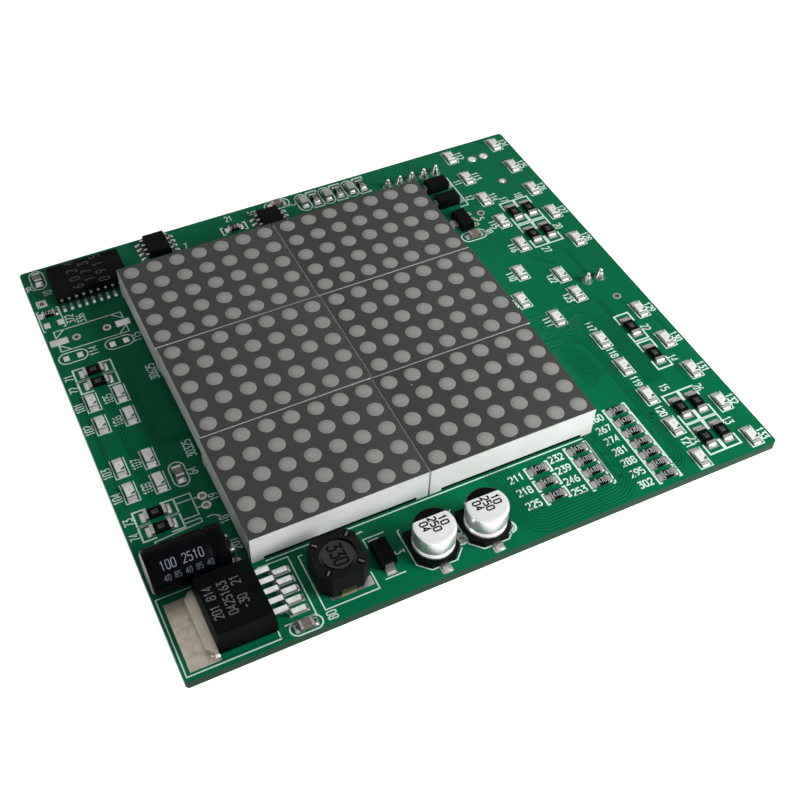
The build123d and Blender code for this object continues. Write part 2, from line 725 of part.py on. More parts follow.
with BuildPart() as round_cap_terminals:
    with BuildSketch(Plane.XY.offset(board_top)):
        with Locations(*round_cap_places):
            with GridLocations(0, ROUND_CAP_BASE + ROUND_CAP_TERMINAL_REACH, 1, 2):
                Rectangle(ROUND_CAP_TERMINAL_WIDTH, ROUND_CAP_TERMINAL_REACH)
    extrude(amount=ROUND_CAP_TERMINAL_HEIGHT)
export_piece(round_cap_terminals, "round_cap_terminals")

# Transistor with three flat leads on its right and one wide tab on its left
transistor_place = rear_right([TRANSISTOR_PLACE])[0]
transistor_reach = (TRANSISTOR_WIDTH + TRANSISTOR_LEAD_REACH) / 2

with BuildPart() as transistor_body:
    with BuildSketch(Plane.XY.offset(board_top)):
        with Locations(transistor_place):
            Rectangle(TRANSISTOR_WIDTH, TRANSISTOR_LENGTH)
    extrude(amount=TRANSISTOR_LEAD_HEIGHT)
    with BuildSketch(Plane.XY.offset(board_top + TRANSISTOR_LEAD_HEIGHT)):
        with Locations(transistor_place):
            Rectangle(TRANSISTOR_WIDTH, TRANSISTOR_LENGTH)
    extrude(amount=TRANSISTOR_HEIGHT - TRANSISTOR_LEAD_HEIGHT, taper=CHIP_DRAFT)
export_piece(transistor_body, "transistor_body")

with BuildPart() as transistor_leads:
    with BuildSketch(Plane.XY.offset(board_top)):
        with Locations((transistor_place[0] + transistor_reach, transistor_place[1])):
            with GridLocations(0, TRANSISTOR_PITCH, 1, 3):
                Rectangle(TRANSISTOR_LEAD_REACH, TRANSISTOR_LEAD_WIDTH)
        with Locations((transistor_place[0] - transistor_reach, transistor_place[1])):
            Rectangle(TRANSISTOR_LEAD_REACH, TRANSISTOR_TAB_WIDTH)
    extrude(amount=TRANSISTOR_LEAD_HEIGHT)
export_piece(transistor_leads, "transistor_leads")


def flat_chips(length, width, height, places_along_x, places_along_y):
    """Plain blocks on the board, some lying along X and some along Y."""
    with BuildPart() as chips:
        with BuildSketch(Plane.XY.offset(board_top)):
            if places_along_x:
                with Locations(*places_along_x):
                    Rectangle(length, width)
            if places_along_y:
                with Locations(*places_along_y):
                    Rectangle(width, length)
        extrude(amount=height)
    return chips


# Large chip resistors
large_resistors_along_x = beside_left(pairs([LEFT_LARGE_RESISTOR_COLUMN], LEFT_LARGE_RESISTOR_ROWS))
large_resistors_along_y = (
    rear_right(pairs(RIGHT_RESISTOR_COLUMNS, REAR_RIGHT_RESISTOR_ROWS))
    + front_right(pairs(RIGHT_RESISTOR_COLUMNS, FRONT_RIGHT_RESISTOR_ROWS))
    + front_right(pairs([SINGLE_RESISTOR_COLUMN], SINGLE_RESISTOR_ROWS))
)
large_resistors = flat_chips(
    LARGE_CHIP_LENGTH, LARGE_CHIP_WIDTH, LARGE_CHIP_HEIGHT, large_resistors_along_x, large_resistors_along_y
)
export_piece(large_resistors, "large_resistors")

# Small chip resistors: banks in front, three in the rear row and single ones
bank_rows = [BANK_START + index * BANK_PITCH for index in range(BANK_COUNT)]
front_banks = [place for column, rows in FRONT_BANKS for place in along_front(pairs([column], rows))]
rear_row = along_rear([(REAR_ROW_START + index * REAR_ROW_PITCH, REAR_ROW_DEPTH) for index in range(REAR_ROW_COUNT)])
small_resistors_along_x = (
    front_banks
    + front_right(pairs([BANK_COLUMN], bank_rows))
    + rear_left([REAR_LEFT_RESISTOR])
    + along_rear([REAR_RESISTOR])
)
small_resistors = flat_chips(
    SMALL_CHIP_LENGTH, SMALL_CHIP_WIDTH, SMALL_CHIP_HEIGHT, small_resistors_along_x, rear_row[1::2]
)
export_piece(small_resistors, "small_resistors")

# Chip capacitors
chip_capacitors = flat_chips(
    SMALL_CHIP_LENGTH,
    SMALL_CHIP_WIDTH,
    CHIP_CAPACITOR_HEIGHT,
    along_rear([REAR_CAPACITOR]) + rear_right([RIGHT_CAPACITOR]) + along_front([FRONT_CAPACITOR]),
    rear_row[0::2] + rear_left([REAR_LEFT_CAPACITOR]) + beside_left([LEFT_CAPACITOR]),
)
export_piece(chip_capacitors, "chip_capacitors")

# Chip LEDs on both sides of the display, each a base with a shorter clear lens on it
led_places = (
    beside_left(pairs(LEFT_LED_COLUMNS, LEFT_LED_ROWS))
    + rear_right(pairs([INNER_COLUMN], REAR_INNER_LEDS))
    + rear_right(pairs([OUTER_COLUMN], REAR_OUTER_LEDS))
    + beside_right(MIDDLE_LEDS)
    + front_right(pairs([INNER_COLUMN], FRONT_INNER_LEDS))
    + front_right(pairs([OUTER_COLUMN], FRONT_OUTER_LEDS))
)
with BuildPart() as indicator_leds:
    with BuildSketch(Plane.XY.offset(board_top)):
        with Locations(*led_places):
            Rectangle(LED_WIDTH, LED_LENGTH)
    extrude(amount=LED_BASE_HEIGHT)
    with BuildSketch(Plane.XY.offset(board_top)):
        with Locations(*led_places):
            Rectangle(LED_WIDTH, LED_LENS_LENGTH)
    extrude(amount=LED_LENS_HEIGHT)
export_piece(indicator_leds, "indicator_leds")


def socket(place, ways):
    """A low socket strip under the board, open downwards at each way."""
    with BuildPart() as strip:
        with BuildSketch(Plane.XY):
            with Locations(place):
                Rectangle(ways * SOCKET_PITCH, SOCKET_WIDTH)
        extrude(amount=SOCKET_HEIGHT)
        with BuildSketch(Plane.XY):
            with Locations(*contact_places(place, ways)):
                Rectangle(SOCKET_MOUTH, SOCKET_MOUTH)
        extrude(amount=SOCKET_DEPTH, mode=Mode.SUBTRACT)
    return strip


# Sockets under the board
export_piece(socket(long_socket, LONG_SOCKET_WAYS), "long_socket")
export_piece(socket(rear_socket, REAR_SOCKET_WAYS), "rear_socket")
export_piece(socket(side_socket, SIDE_SOCKET_WAYS), "side_socket")

# Contacts that come up through the board, with their solder on the front
with BuildPart() as contact_joints:
    with BuildSketch(Plane.XY.offset(board_top)):
        with Locations(*cone_places):
            RegularPolygon(CONE_DIAMETER / 2, CONE_SIDES)
    extrude(amount=CONE_HEIGHT, taper=CONE_TAPER)
    with BuildSketch(Plane.XY.offset(board_top)):
        with Locations(*flat_joint_places):
            RegularPolygon(CONE_DIAMETER / 2, CONE_SIDES)
    extrude(amount=FLAT_JOINT_HEIGHT, taper=FLAT_JOINT_TAPER)
    with BuildSketch(Plane.XY.offset(board_bottom)):
        with Locations(*cone_places):
            Rectangle(CONTACT_WIDTH, CONTACT_WIDTH)
    extrude(amount=BOARD_THICKNESS + CONTACT_TIP)
    with BuildSketch(Plane.XY.offset(board_bottom)):
        with Locations(*flat_joint_places):
            Rectangle(CONTACT_WIDTH, CONTACT_WIDTH)
    extrude(amount=BOARD_THICKNESS + FLAT_JOINT_HEIGHT)
export_piece(contact_joints, "contact_joints")
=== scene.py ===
import bmesh
import bpy
import math
from collections import namedtuple
from mathutils import Euler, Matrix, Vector


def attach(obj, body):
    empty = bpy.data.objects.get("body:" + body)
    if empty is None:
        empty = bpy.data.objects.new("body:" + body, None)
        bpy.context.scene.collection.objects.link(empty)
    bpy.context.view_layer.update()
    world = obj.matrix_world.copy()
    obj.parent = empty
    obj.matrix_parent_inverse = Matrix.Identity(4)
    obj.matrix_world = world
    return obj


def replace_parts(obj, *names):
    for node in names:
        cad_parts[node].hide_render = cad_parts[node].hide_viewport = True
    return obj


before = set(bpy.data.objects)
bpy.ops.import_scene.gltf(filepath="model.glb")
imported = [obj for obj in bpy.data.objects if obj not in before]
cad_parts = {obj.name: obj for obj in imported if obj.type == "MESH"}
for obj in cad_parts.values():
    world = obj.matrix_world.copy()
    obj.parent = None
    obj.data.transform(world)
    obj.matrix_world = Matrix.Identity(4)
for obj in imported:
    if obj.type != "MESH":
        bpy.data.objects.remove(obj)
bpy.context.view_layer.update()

# Lengths below are in millimetres on the board, with the frame's own axes, unless a name says otherwise
MM = 0.001

# Camera: the photograph's viewpoint and turn, and its lens on a 36 mm wide sensor
CAMERA_PLACE = (-58.3, -117.6, 145.4)
CAMERA_TURN = (40.947, -0.046, -25.080)
CAMERA_LENS = 52.83
CAMERA_SHIFT = (0.0538, -0.0036)

# Light
SKY_STRENGTH = 0.235
KEY_PLACE = (178, -158, 132)
KEY_SIZE = 130
KEY_POWER = 0.9
FILL_PLACE = (-120, -420, 260)
FILL_SIZE = 360
FILL_POWER = 0.08
FLOOR_SIZE = 3000.0
FLOOR_LIFT = 0.86

# Layers printed or plated on the board, as heights above its top
TRACE_HEIGHT = 0.04
TRACE_FLANK = 0.05
PAD_LIFT = 0.03
SILK_LIFT = 0.04
PRINT_LIFT = 0.012

# What finishes share. The specular level says how much they mirror: 0.5 is plain plastic
MASKED = {"Specular IOR Level": 0.04}
MASK_LOOK = {"drift": 80.0, "gloss": (0.24, 0.34), "depth": 0.04}
DARK = {"Specular IOR Level": 0.02}
METAL = {"Metallic": 1.0}
PRINT_LOOK = {"drift": 500.0, "gloss": (0.4, 0.6)}
GRAIN_RELIEF = 0.05

# How far up the housings carry painted shade, which darkens them towards their foot. The black segment on the
# upright cans: where it begins, as a share of their width, and how far down their side it runs
FOOT_SHADE_HEIGHT = 2.4
SEGMENT_PLACE = 0.24
SEGMENT_DEPTH = 0.32

# Pens and figures
SILK_PEN = 0.2
BOX_PEN = 0.29
LED_PEN = 0.17
LABEL_PEN = 0.19
LABEL_HEIGHT = 1.35
TRACE_PEN = 0.27
TRACE_PITCH = 0.49
ROUTE_BEND = 1.6
GAP_PEN = 0.17
GAP_LIFT = 0.012
STROKE_STEPS = 8
FIGURE_WIDTH = 0.36
FIGURE_STEP = 1.5
CURVED_STEP = 0.3

# Modules and dots
MODULES = range(1, 7)
DOT_SIZE = 2.62
DOT_CROWN = 0.09
DOT_RINGS = 5
DOT_SEGMENTS = 28
FACE_OVERHANG_X = 0.17
FACE_OVERHANG_Y = 0.13
FACE_EDGE = 0.06

# The sheet of painted shade under each module: how far in from its sides, and from where to where above the
# board
SHADE_SHEET_INSET = 0.06
SHADE_SHEET_HEIGHTS = (0.01, 0.59)

# LEDs: the height of the base, the length of the lens, the metal ends to the rear and the front and how far
# they stand out, the reach and height of their solder, their pads, the corners of the dark mark before the
# lens, the die's place from the middle and its radius, and the dark mark on the lens, inwards from its
# right side and up from its foot
LED_BASE = 0.3
LED_LENS = 1.7
LED_ENDS = [(1, 0.3), (-1, 0.5)]
LED_END_SKIN = 0.04
LED_FILLET = (0.42, 0.26)
LED_PAD_MARGIN = 0.1
LED_PAD_LENGTH = 1.0
LED_CORNER_MARK = [(0.1, -0.2), (0.34, -0.36), (0.5, -0.1)]
LED_DIE_PLACE = (0.05, 0.15, 0.17)
LED_FLAG = [(0.05, 0.02), (0.05, 0.62), (0.3, 0.4), (0.55, 0.3), (0.75, 0.02)]

# Plated holes: the hole, its ring, that ring's pen and the wall of its barrel; radius and pen of a small
# ring; sides; the narrowest hole that stays open; how near the corners of one wall stand to each other; and
# the margin of the board where its own corners lie
HOLE_RADIUS = 0.38
HOLE_RING = 0.74
HOLE_RING_PEN = 0.3
BARREL_WALL = 0.012
SMALL_HOLE_RING = (0.55, 0.5)
HOLE_SEGMENTS = 24
SMALLEST_OPEN_HOLE = 0.75
HOLE_WALL_STEP = 0.6
EDGE_MARGIN = 1.05
VIA_RADIUS = 0.3
FILLED_HOLE = (41.0, 29.72)
FILLED_HOLE_RING = (0.78, 0.34)

# Inductor: its bore, how far in from its sides the notches are, their radius, the size of the wire ends in
# them, and the thickness of the winding in the ring and how deep it lies
INDUCTOR_BORE = 5.4
NOTCH_PLACE = 1.2
NOTCH_RADIUS = 0.5
WIRE_END_SIZE = (0.8, 0.3, 0.16)
WINDING_THICKNESS = 0.3
WINDING_DEPTH = 0.95

# Driver leads: where their slope, drawn in painted shade, begins and ends above the board, the size of the
# bright blocks of painted highlight on their shoulders, how far out and down those stand, and the lit and
# shaded tones
SLOPE_HEIGHTS = (0.36, 1.15)
SHOULDER_SIZE = (0.52, 0.5, 0.35)
SHOULDER_REACH = 0.2
SHOULDER_DROP = 0.3
LEAD_LIT_AND_SHADE_TONES = [((0.40, 0.41, 0.39), (0.05, 0.055, 0.05)), ((0.32, 0.33, 0.31), (0.035, 0.04, 0.035))]

# Chip capacitors: where the paler row begins, and the brown and pale tones
PALE_ROW = (3.5, 35.0)
CERAMIC_TONES = [((0.17, 0.13, 0.105), (0.42, 0.43, 0.39)), ((0.13, 0.10, 0.08), (0.36, 0.37, 0.33))]

# Cans: the sleeve's opening, how far its groove stands from its end, and the lines on the upright ones as
# text, place to the right and place to the rear
CAN_SEGMENTS = 72
CAN_OPENING = 2.9
CAN_GROOVE_PLACE = 2.3
UPRIGHT_LINES = [("10", 1.45, 0.25), ("250", 0.0, 0.1), ("04", -1.45, 0.25)]

# Chip parts: how long their metal ends are and how far they stand out, the shares of width and height that
# solder takes, and the pads
CAP_LENGTHS = {"large_resistor": 0.43, "small_resistor": 0.27, "chip_capacitor": 0.35}
END_SKIN = 0.05
END_RISE = 0.03
FILLET_SHARE = (0.98, 0.72)
FILLET_REACH = 0.62
CHIP_PAD_LENGTH = 1.25
CHIP_PAD_REACH = 0.12
CHIP_PAD_MARGIN = 0.15

# Bent leads: leads and the bodies they belong to with the length and least width of their pads, how far a
# pad runs past the toe and the lead's sides, and the beads of solder as a share of its width, a reach and a
# height
LEAD_ROWS = [
    ("driver_leads", "driver_chip", 1.5, 0.62),
    ("logic_leads", "logic_chips", 1.3, 0.62),
    ("regulator_leads", "regulator_body", 3.0, 1.15),
    ("diode_leads", "diode_bodies", 1.5, 1.6),
    ("transistor_leads", "transistor_body", 1.2, 0.7),
]
PAD_PAST_TOE = 0.45
PAD_PAST_LEAD = 0.2
BEAD_SIZE = (0.85, 0.4, 0.22)


# Reading the frame

Solid = namedtuple("Solid", "x y long_x long_y bottom top")


def solids(node):
    """The box of every separate solid in a CAD node, in millimetres, from left to right."""
    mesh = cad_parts[node].data
    group_of = {}
    parent = []

    def root(index):
        while parent[index] != index:
            index = parent[index]
        return index

    for polygon in mesh.polygons:
        keys = [tuple(round(c / MM, 3) for c in mesh.vertices[v].co) for v in polygon.vertices]
        for key in keys:
            if key not in group_of:
                group_of[key] = len(parent)
                parent.append(len(parent))
        first = root(group_of[keys[0]])
        for key in keys[1:]:
            parent[root(group_of[key])] = first
    corners = {}
    for key, index in group_of.items():
        corners.setdefault(root(index), []).append(key)
    found = []
    for keys in corners.values():
        low, high = [[pick(key[axis] for key in keys) for axis in range(3)] for pick in (min, max)]
        x, y = (low[0] + high[0]) / 2, (low[1] + high[1]) / 2
        found.append(Solid(x, y, high[0] - low[0], high[1] - low[1], low[2], high[2]))
    return sorted(found, key=lambda solid: (round(solid.x, 1), -solid.y))


def nearest(parts, x, y):
    """The part whose middle is nearest to a point."""
    return min(parts, key=lambda part: (part.x - x) ** 2 + (part.y - y) ** 2)


def moved(x, y, distance, along_x):
    """A point moved along X or along Y."""
    return (x + distance, y) if along_x else (x, y + distance)


def facing(side, along_x):
    """The turn in degrees that points a fillet's toe to that side."""
    return -90 * side if along_x else 90 - 90 * side


board = solids("circuit_board")[0]
board_top = board.top
board_left = board.x - board.long_x / 2
board_front = board.y - board.long_y / 2
board_rear = board.y + board.long_y / 2
pad_top = board_top + PAD_LIFT


# Node trees

def socket(sockets, key):
    """The socket with that name that is in use, or the one at that index."""
    if isinstance(key, int):
        return sockets[key]
    return next(item for item in sockets if item.name == key and item.enabled)


def add(tree, kind, values=None, **settings):
    """A new node, with its settings made and its inputs linked or given their values."""
    made = tree.nodes.new(kind)
    for key, value in settings.items():
        setattr(made, key, value)
    for key, value in (values or {}).items():
        target = socket(made.inputs, key)
        if isinstance(value, bpy.types.NodeSocket):
            tree.links.new(value, target)
        else:
            target.default_value = value
    return made


def new_group(name, kind, inputs, outputs):
    """An empty group with named inputs and outputs, and the sockets that bring what it is given."""
    tree = bpy.data.node_groups.new(name, kind)
    for label, form, value in inputs:
        made = tree.interface.new_socket(name=label, in_out="INPUT", socket_type="NodeSocket" + form)
        if value is not None:
            made.default_value = value
    for label, form in outputs:
        tree.interface.new_socket(name=label, in_out="OUTPUT", socket_type="NodeSocket" + form)
    return tree, add(tree, "NodeGroupInput").outputs


def math_node(tree, operation, *values):
    """One sum of sockets or numbers."""
    return add(tree, "ShaderNodeMath", dict(enumerate(values)), operation=operation).outputs[0]


def ranged(tree, value, low, high, to_low=0.0, to_high=1.0, **settings):
    """A value spread from one range over another."""
    values = {"Value": value, "From Min": low, "From Max": high, "To Min": to_low, "To Max": to_high}
    return add(tree, "ShaderNodeMapRange", values, **settings).outputs["Result"]


def noise(tree, place, scale, detail, **values):
    """Noise from 0 to 1 at that place."""
    values = {"Vector": place, "Scale": scale, "Detail": detail, **values}
    return add(tree, "ShaderNodeTexNoise", values).outputs["Fac"]


def object_place(tree):
    """The place in the object's own coordinates."""
    return add(tree, "ShaderNodeTexCoord").outputs["Object"]


def axes(tree, vector):
    """The X, Y and Z of a vector."""
    return add(tree, "ShaderNodeSeparateXYZ", {0: vector}).outputs


def colour(value):
    """A socket as it is, or three numbers as an opaque colour."""
    return value if isinstance(value, bpy.types.NodeSocket) else (*value, 1)


def mixed(tree, mask, first, second, **settings):
    """The first colour where the mask is 0 and the second where it is 1."""
    values = {"Factor": mask, "A": colour(first), "B": colour(second)}
    return socket(add(tree, "ShaderNodeMix", values, data_type="RGBA", **settings).outputs, "Result")


def drift_group():
    """Slow changes of tone and gloss over a surface, and a fine grain in its relief."""
    tree, given = new_group(
        "surface_drift",
        "ShaderNodeTree",
        [
            ("Tone", "Color", (0.5, 0.5, 0.5, 1)),
            ("Second Tone", "Color", (0.5, 0.5, 0.5, 1)),
            ("Drift Scale", "Float", 60.0),
            ("Smoothest", "Float", 0.3),
            ("Roughest", "Float", 0.5),
            ("Grain Scale", "Float", 3000.0),
            ("Grain Depth", "Float", 0.1),
        ],
        [("Colour", "Color"), ("Roughness", "Float"), ("Normal", "Vector")],
    )
    place = object_place(tree)
    drift = noise(tree, place, given["Drift Scale"], 5.0, Roughness=0.6)
    tone = mixed(tree, ranged(tree, drift, 0.35, 0.65), given["Tone"], given["Second Tone"])
    gloss = ranged(tree, drift, 0.3, 0.7, given["Smoothest"], given["Roughest"])
    grain = noise(tree, place, given["Grain Scale"], 3.0)
    bump = {"Strength": given["Grain Depth"], "Distance": GRAIN_RELIEF * MM, "Height": grain}
    relief = add(tree, "ShaderNodeBump", bump).outputs["Normal"]
    add(tree, "NodeGroupOutput", {"Colour": tone, "Roughness": gloss, "Normal": relief})
    return tree


def dust_group():
    """Sparse pale specks, as a mask."""
    tree, given = new_group(
        "dust_specks",
        "ShaderNodeTree",
        [("Scale", "Float", 700.0), ("Size", "Float", 0.1)],
        [("Mask", "Float")],
    )
    cells = add(tree, "ShaderNodeTexVoronoi", {"Vector": object_place(tree), "Scale": given["Scale"]}).outputs
    chosen = add(tree, "ShaderNodeSeparateColor", {"Color": cells["Color"]}).outputs["Red"]
    rare = math_node(tree, "GREATER_THAN", chosen, 0.9)
    near = math_node(tree, "LESS_THAN", cells["Distance"], given["Size"])
    add(tree, "NodeGroupOutput", {"Mask": math_node(tree, "MULTIPLY", rare, near)})
    return tree


DRIFT = drift_group()
DUST = dust_group()


def new_material(name, fixed=None):
    """A material with its Principled shader, and the values that are the same all over it."""
    material = bpy.data.materials.new(name)
    material.use_nodes = True
    shader = material.node_tree.nodes["Principled BSDF"]
    for key, value in (fixed or {}).items():
        shader.inputs[key].default_value = value
    return material, material.node_tree, shader


def surface(tree, shader, tone, second, drift=60.0, gloss=(0.3, 0.5), grain=3000.0, depth=0.1):
    """Two close tones with a fine grain, linked to the shader. The tones may be colours or sockets."""
    values = {
        "Tone": colour(tone),
        "Second Tone": colour(second),
        "Drift Scale": drift,
        "Smoothest": gloss[0],
        "Roughest": gloss[1],
        "Grain Scale": grain,
        "Grain Depth": depth,
    }
    made = add(tree, "ShaderNodeGroup", values, node_tree=DRIFT).outputs
    for output, target in (("Colour", "Base Color"), ("Roughness", "Roughness"), ("Normal", "Normal")):
        tree.links.new(made[output], shader.inputs[target])
    return made["Colour"]


def drifting(name, tone, second, fixed=None, **look):
    """A finish of two close tones with a fine grain."""
    material, tree, shader = new_material(name, fixed)
    surface(tree, shader, tone, second, **look)
    return material


def seen_plainly(tree):
    """1 where the camera looks, also by a mirror or through glass, and 0 for light that falls on things."""
    ray = add(tree, "ShaderNodeLightPath").outputs
    mirrored = math_node(tree, "MAXIMUM", ray["Is Glossy Ray"], ray["Is Transmission Ray"])
    return math_node(tree, "MAXIMUM", ray["Is Camera Ray"], mirrored)


# Finishes

def board_finish():
    """Green solder mask over laminate, which shows at the cut edges."""
    material, tree, shader = new_material("solder_mask", MASKED)
    upward = axes(tree, add(tree, "ShaderNodeNewGeometry").outputs["Normal"])["Z"]
    flat = math_node(tree, "GREATER_THAN", math_node(tree, "ABSOLUTE", upward), 0.5)
    fibres = noise(tree, object_place(tree), 900.0, 4.0)
    edge = mixed(tree, fibres, (0.001, 0.040, 0.016), (0.008, 0.050, 0.020))
    mask = surface(
        tree, shader, (0.001, 0.150, 0.062), (0.001, 0.128, 0.052), drift=35.0, gloss=(0.26, 0.36), depth=0.04
    )
    tree.links.new(mixed(tree, flat, edge, mask), shader.inputs["Base Color"])
    return material


def dot_finish():
    """Milky lens, lighter towards its middle, with a thin pale rim and a slightly different tint on each."""
    material, tree, shader = new_material("milky_lens", {"Specular IOR Level": 0.25})
    ring, tint = [
        add(tree, "ShaderNodeAttribute", attribute_name=name).outputs["Fac"] for name in ("ring", "tint")
    ]
    middle = ranged(tree, ring, 0.25, 0.9, interpolation_type="SMOOTHSTEP")
    body = mixed(tree, middle, (0.31, 0.306, 0.294), (0.262, 0.258, 0.248))
    rim = math_node(tree, "MULTIPLY", math_node(tree, "GREATER_THAN", ring, 0.93), 0.3)
    rimmed = mixed(tree, rim, body, (0.35, 0.345, 0.33))
    cast = add(tree, "ShaderNodeValToRGB", {"Fac": tint})
    cast.color_ramp.elements[0].color = (1.0, 0.975, 0.965, 1)
    cast.color_ramp.elements[1].color = (0.975, 1.0, 0.97, 1)
    tone = mixed(tree, 1.0, rimmed, cast.outputs["Color"], blend_type="MULTIPLY")
    surface(tree, shader, tone, tone, drift=300.0, gloss=(0.28, 0.4), grain=2500.0, depth=0.15)
    return material


def face_finish():
    """Dark grey ink with a fine tooth and a few specks of dust."""
    material, tree, shader = new_material("display_ink", {"Specular IOR Level": 0.2})
    tones = (0.046, 0.047, 0.047), (0.040, 0.041, 0.041)
    ink = surface(tree, shader, *tones, drift=28.0, gloss=(0.46, 0.6), grain=5200.0, depth=0.3)
    specks = add(tree, "ShaderNodeGroup", {"Scale": 420.0, "Size": 0.07}, node_tree=DUST).outputs["Mask"]
    tree.links.new(mixed(tree, specks, ink, (0.3, 0.3, 0.29)), shader.inputs["Base Color"])
    return material


def housing_finish():
    """White moulding with painted shade towards its foot, and a little greyer in soft streaks."""
    material, tree, shader = new_material("white_moulding")
    place = object_place(tree)
    # Painted shade: the housing darkens towards the board, mixed with greyer streaks
    low = ranged(tree, axes(tree, place)["Z"], (board_top + FOOT_SHADE_HEIGHT) * MM, board_top * MM)
    streaks = math_node(tree, "MULTIPLY", ranged(tree, noise(tree, place, 130.0, 6.0), 0.42, 0.66), 0.6)
    foot_shade_and_streaks = math_node(tree, "MULTIPLY", math_node(tree, "MAXIMUM", low, streaks), 0.45)
    tone = mixed(tree, foot_shade_and_streaks, (0.82, 0.83, 0.81), (0.50, 0.51, 0.49))
    surface(tree, shader, tone, tone, drift=90.0, gloss=(0.38, 0.5), grain=1800.0, depth=0.12)
    return material


def solder_finish(name, tone, gloss):
    """Soft bright solder or tin with a slightly frosted skin."""
    second = tuple(part * 0.82 for part in tone)
    return drifting(name, tone, second, METAL, drift=900.0, gloss=gloss, grain=2600.0, depth=0.35)


def upright_can_finish(can):
    """Bare aluminium whose top carries a black segment at the rear."""
    material, tree, shader = new_material("upright_can_metal", {"Specular IOR Level": 0.03})
    place = axes(tree, object_place(tree))
    behind = math_node(tree, "GREATER_THAN", place["Y"], (can.y + can.long_y * SEGMENT_PLACE) * MM)
    above = math_node(tree, "GREATER_THAN", place["Z"], (can.top - SEGMENT_DEPTH) * MM)
    mask = math_node(tree, "MULTIPLY", behind, above)
    tones = (0.78, 0.785, 0.78), (0.70, 0.71, 0.705)
    metal = surface(tree, shader, *tones, drift=120.0, gloss=(0.26, 0.38), grain=4000.0, depth=0.1)
    tree.links.new(mixed(tree, mask, metal, (0.002, 0.003, 0.003)), shader.inputs["Base Color"])
    bare = math_node(tree, "SUBTRACT", 0.8, math_node(tree, "MULTIPLY", mask, 0.8))
    tree.links.new(bare, shader.inputs["Metallic"])
    return material


def bent_lead_finish():
    """Tinned leads of the driver chip, in painted shade where they slope down between the shoulder and the
    foot.
    """
    material, tree, shader = new_material("bent_lead", METAL)
    height = axes(tree, object_place(tree))["Z"]
    above_foot = math_node(tree, "GREATER_THAN", height, (board_top + SLOPE_HEIGHTS[0]) * MM)
    below_top = math_node(tree, "LESS_THAN", height, (board_top + SLOPE_HEIGHTS[1]) * MM)
    # Painted shade: the sloping part of each lead takes the darker tone
    slope = math_node(tree, "MULTIPLY", above_foot, below_top)
    tones = [mixed(tree, slope, plain, shade_tone) for plain, shade_tone in LEAD_LIT_AND_SHADE_TONES]
    surface(tree, shader, *tones, drift=900.0, gloss=(0.3, 0.48), grain=2600.0, depth=0.35)
    return material


def ceramic_finish():
    """Brown fired ceramic, paler in the row at the rear."""
    material, tree, shader = new_material("fired_ceramic")
    place = axes(tree, object_place(tree))
    beyond, behind = [
        math_node(tree, "GREATER_THAN", place[axis], start * MM) for axis, start in zip("XY", PALE_ROW)
    ]
    pale = math_node(tree, "MULTIPLY", behind, beyond)
    tones = [mixed(tree, pale, brown, grey) for brown, grey in CERAMIC_TONES]
    surface(tree, shader, *tones, drift=500.0, gloss=(0.3, 0.45), depth=0.3)
    return material


def floor_finish():
    """White paper that keeps shadows, and looks white to the camera and in reflections."""
    plain = {"Base Color": (0.86, 0.86, 0.86, 1), "Emission Color": (1, 1, 1, 1)}
    plain |= {"Roughness": 0.9, "Specular IOR Level": 0.1}
    material, tree, shader = new_material("floor_white", plain)
    lift = math_node(tree, "MULTIPLY", seen_plainly(tree), FLOOR_LIFT)
    tree.links.new(lift, shader.inputs["Emission Strength"])
    return material


MASK = board_finish()
TRACE = drifting("mask_over_copper", (0.001, 0.163, 0.069), (0.001, 0.139, 0.058), MASKED, **MASK_LOOK)
GAP = drifting("mask_over_laminate", (0.001, 0.102, 0.043), (0.001, 0.086, 0.036), MASKED, **MASK_LOOK)
SILK = drifting(
    "silk_print", (0.70, 0.87, 0.79), (0.62, 0.81, 0.72), drift=500.0, gloss=(0.5, 0.7), grain=5000.0
)

# Metals
TIN = solder_finish("tinned_pad", (0.33, 0.325, 0.305), (0.4, 0.58))
SOLDER = solder_finish("solder", (0.70, 0.70, 0.69), (0.16, 0.34))
FILLET = solder_finish("run_solder", (0.42, 0.42, 0.41), (0.22, 0.4))
LEAD = solder_finish("tinned_lead", (0.32, 0.32, 0.31), (0.3, 0.48))
BENT_LEAD = bent_lead_finish()
BRIGHT_PAD = solder_finish("bright_pad", (0.46, 0.46, 0.445), (0.34, 0.52))
WIDE_PAD = solder_finish("wide_tinned_pad", (0.43, 0.385, 0.32), (0.38, 0.55))
BRIGHT_WIRE = solder_finish("bright_wire", (0.13, 0.12, 0.11), (0.3, 0.45))
# The can's bare aluminium end, darkened as painted shade inside the sleeve's lip
SHADED_CAN_END = drifting(
    "can_end_painted_shade", (0.12, 0.118, 0.114), (0.09, 0.088, 0.085), {"Metallic": 0.9},
    drift=200.0, gloss=(0.25, 0.4),
)
TAB = drifting(
    "tab_metal", (0.50, 0.46, 0.37), (0.42, 0.39, 0.31), {"Metallic": 0.7},
    drift=150.0, gloss=(0.35, 0.5), grain=3500.0, depth=0.2,
)
BRASS = drifting("brass_clip", (0.36, 0.28, 0.14), (0.28, 0.22, 0.12), METAL, drift=400.0, gloss=(0.25, 0.4))

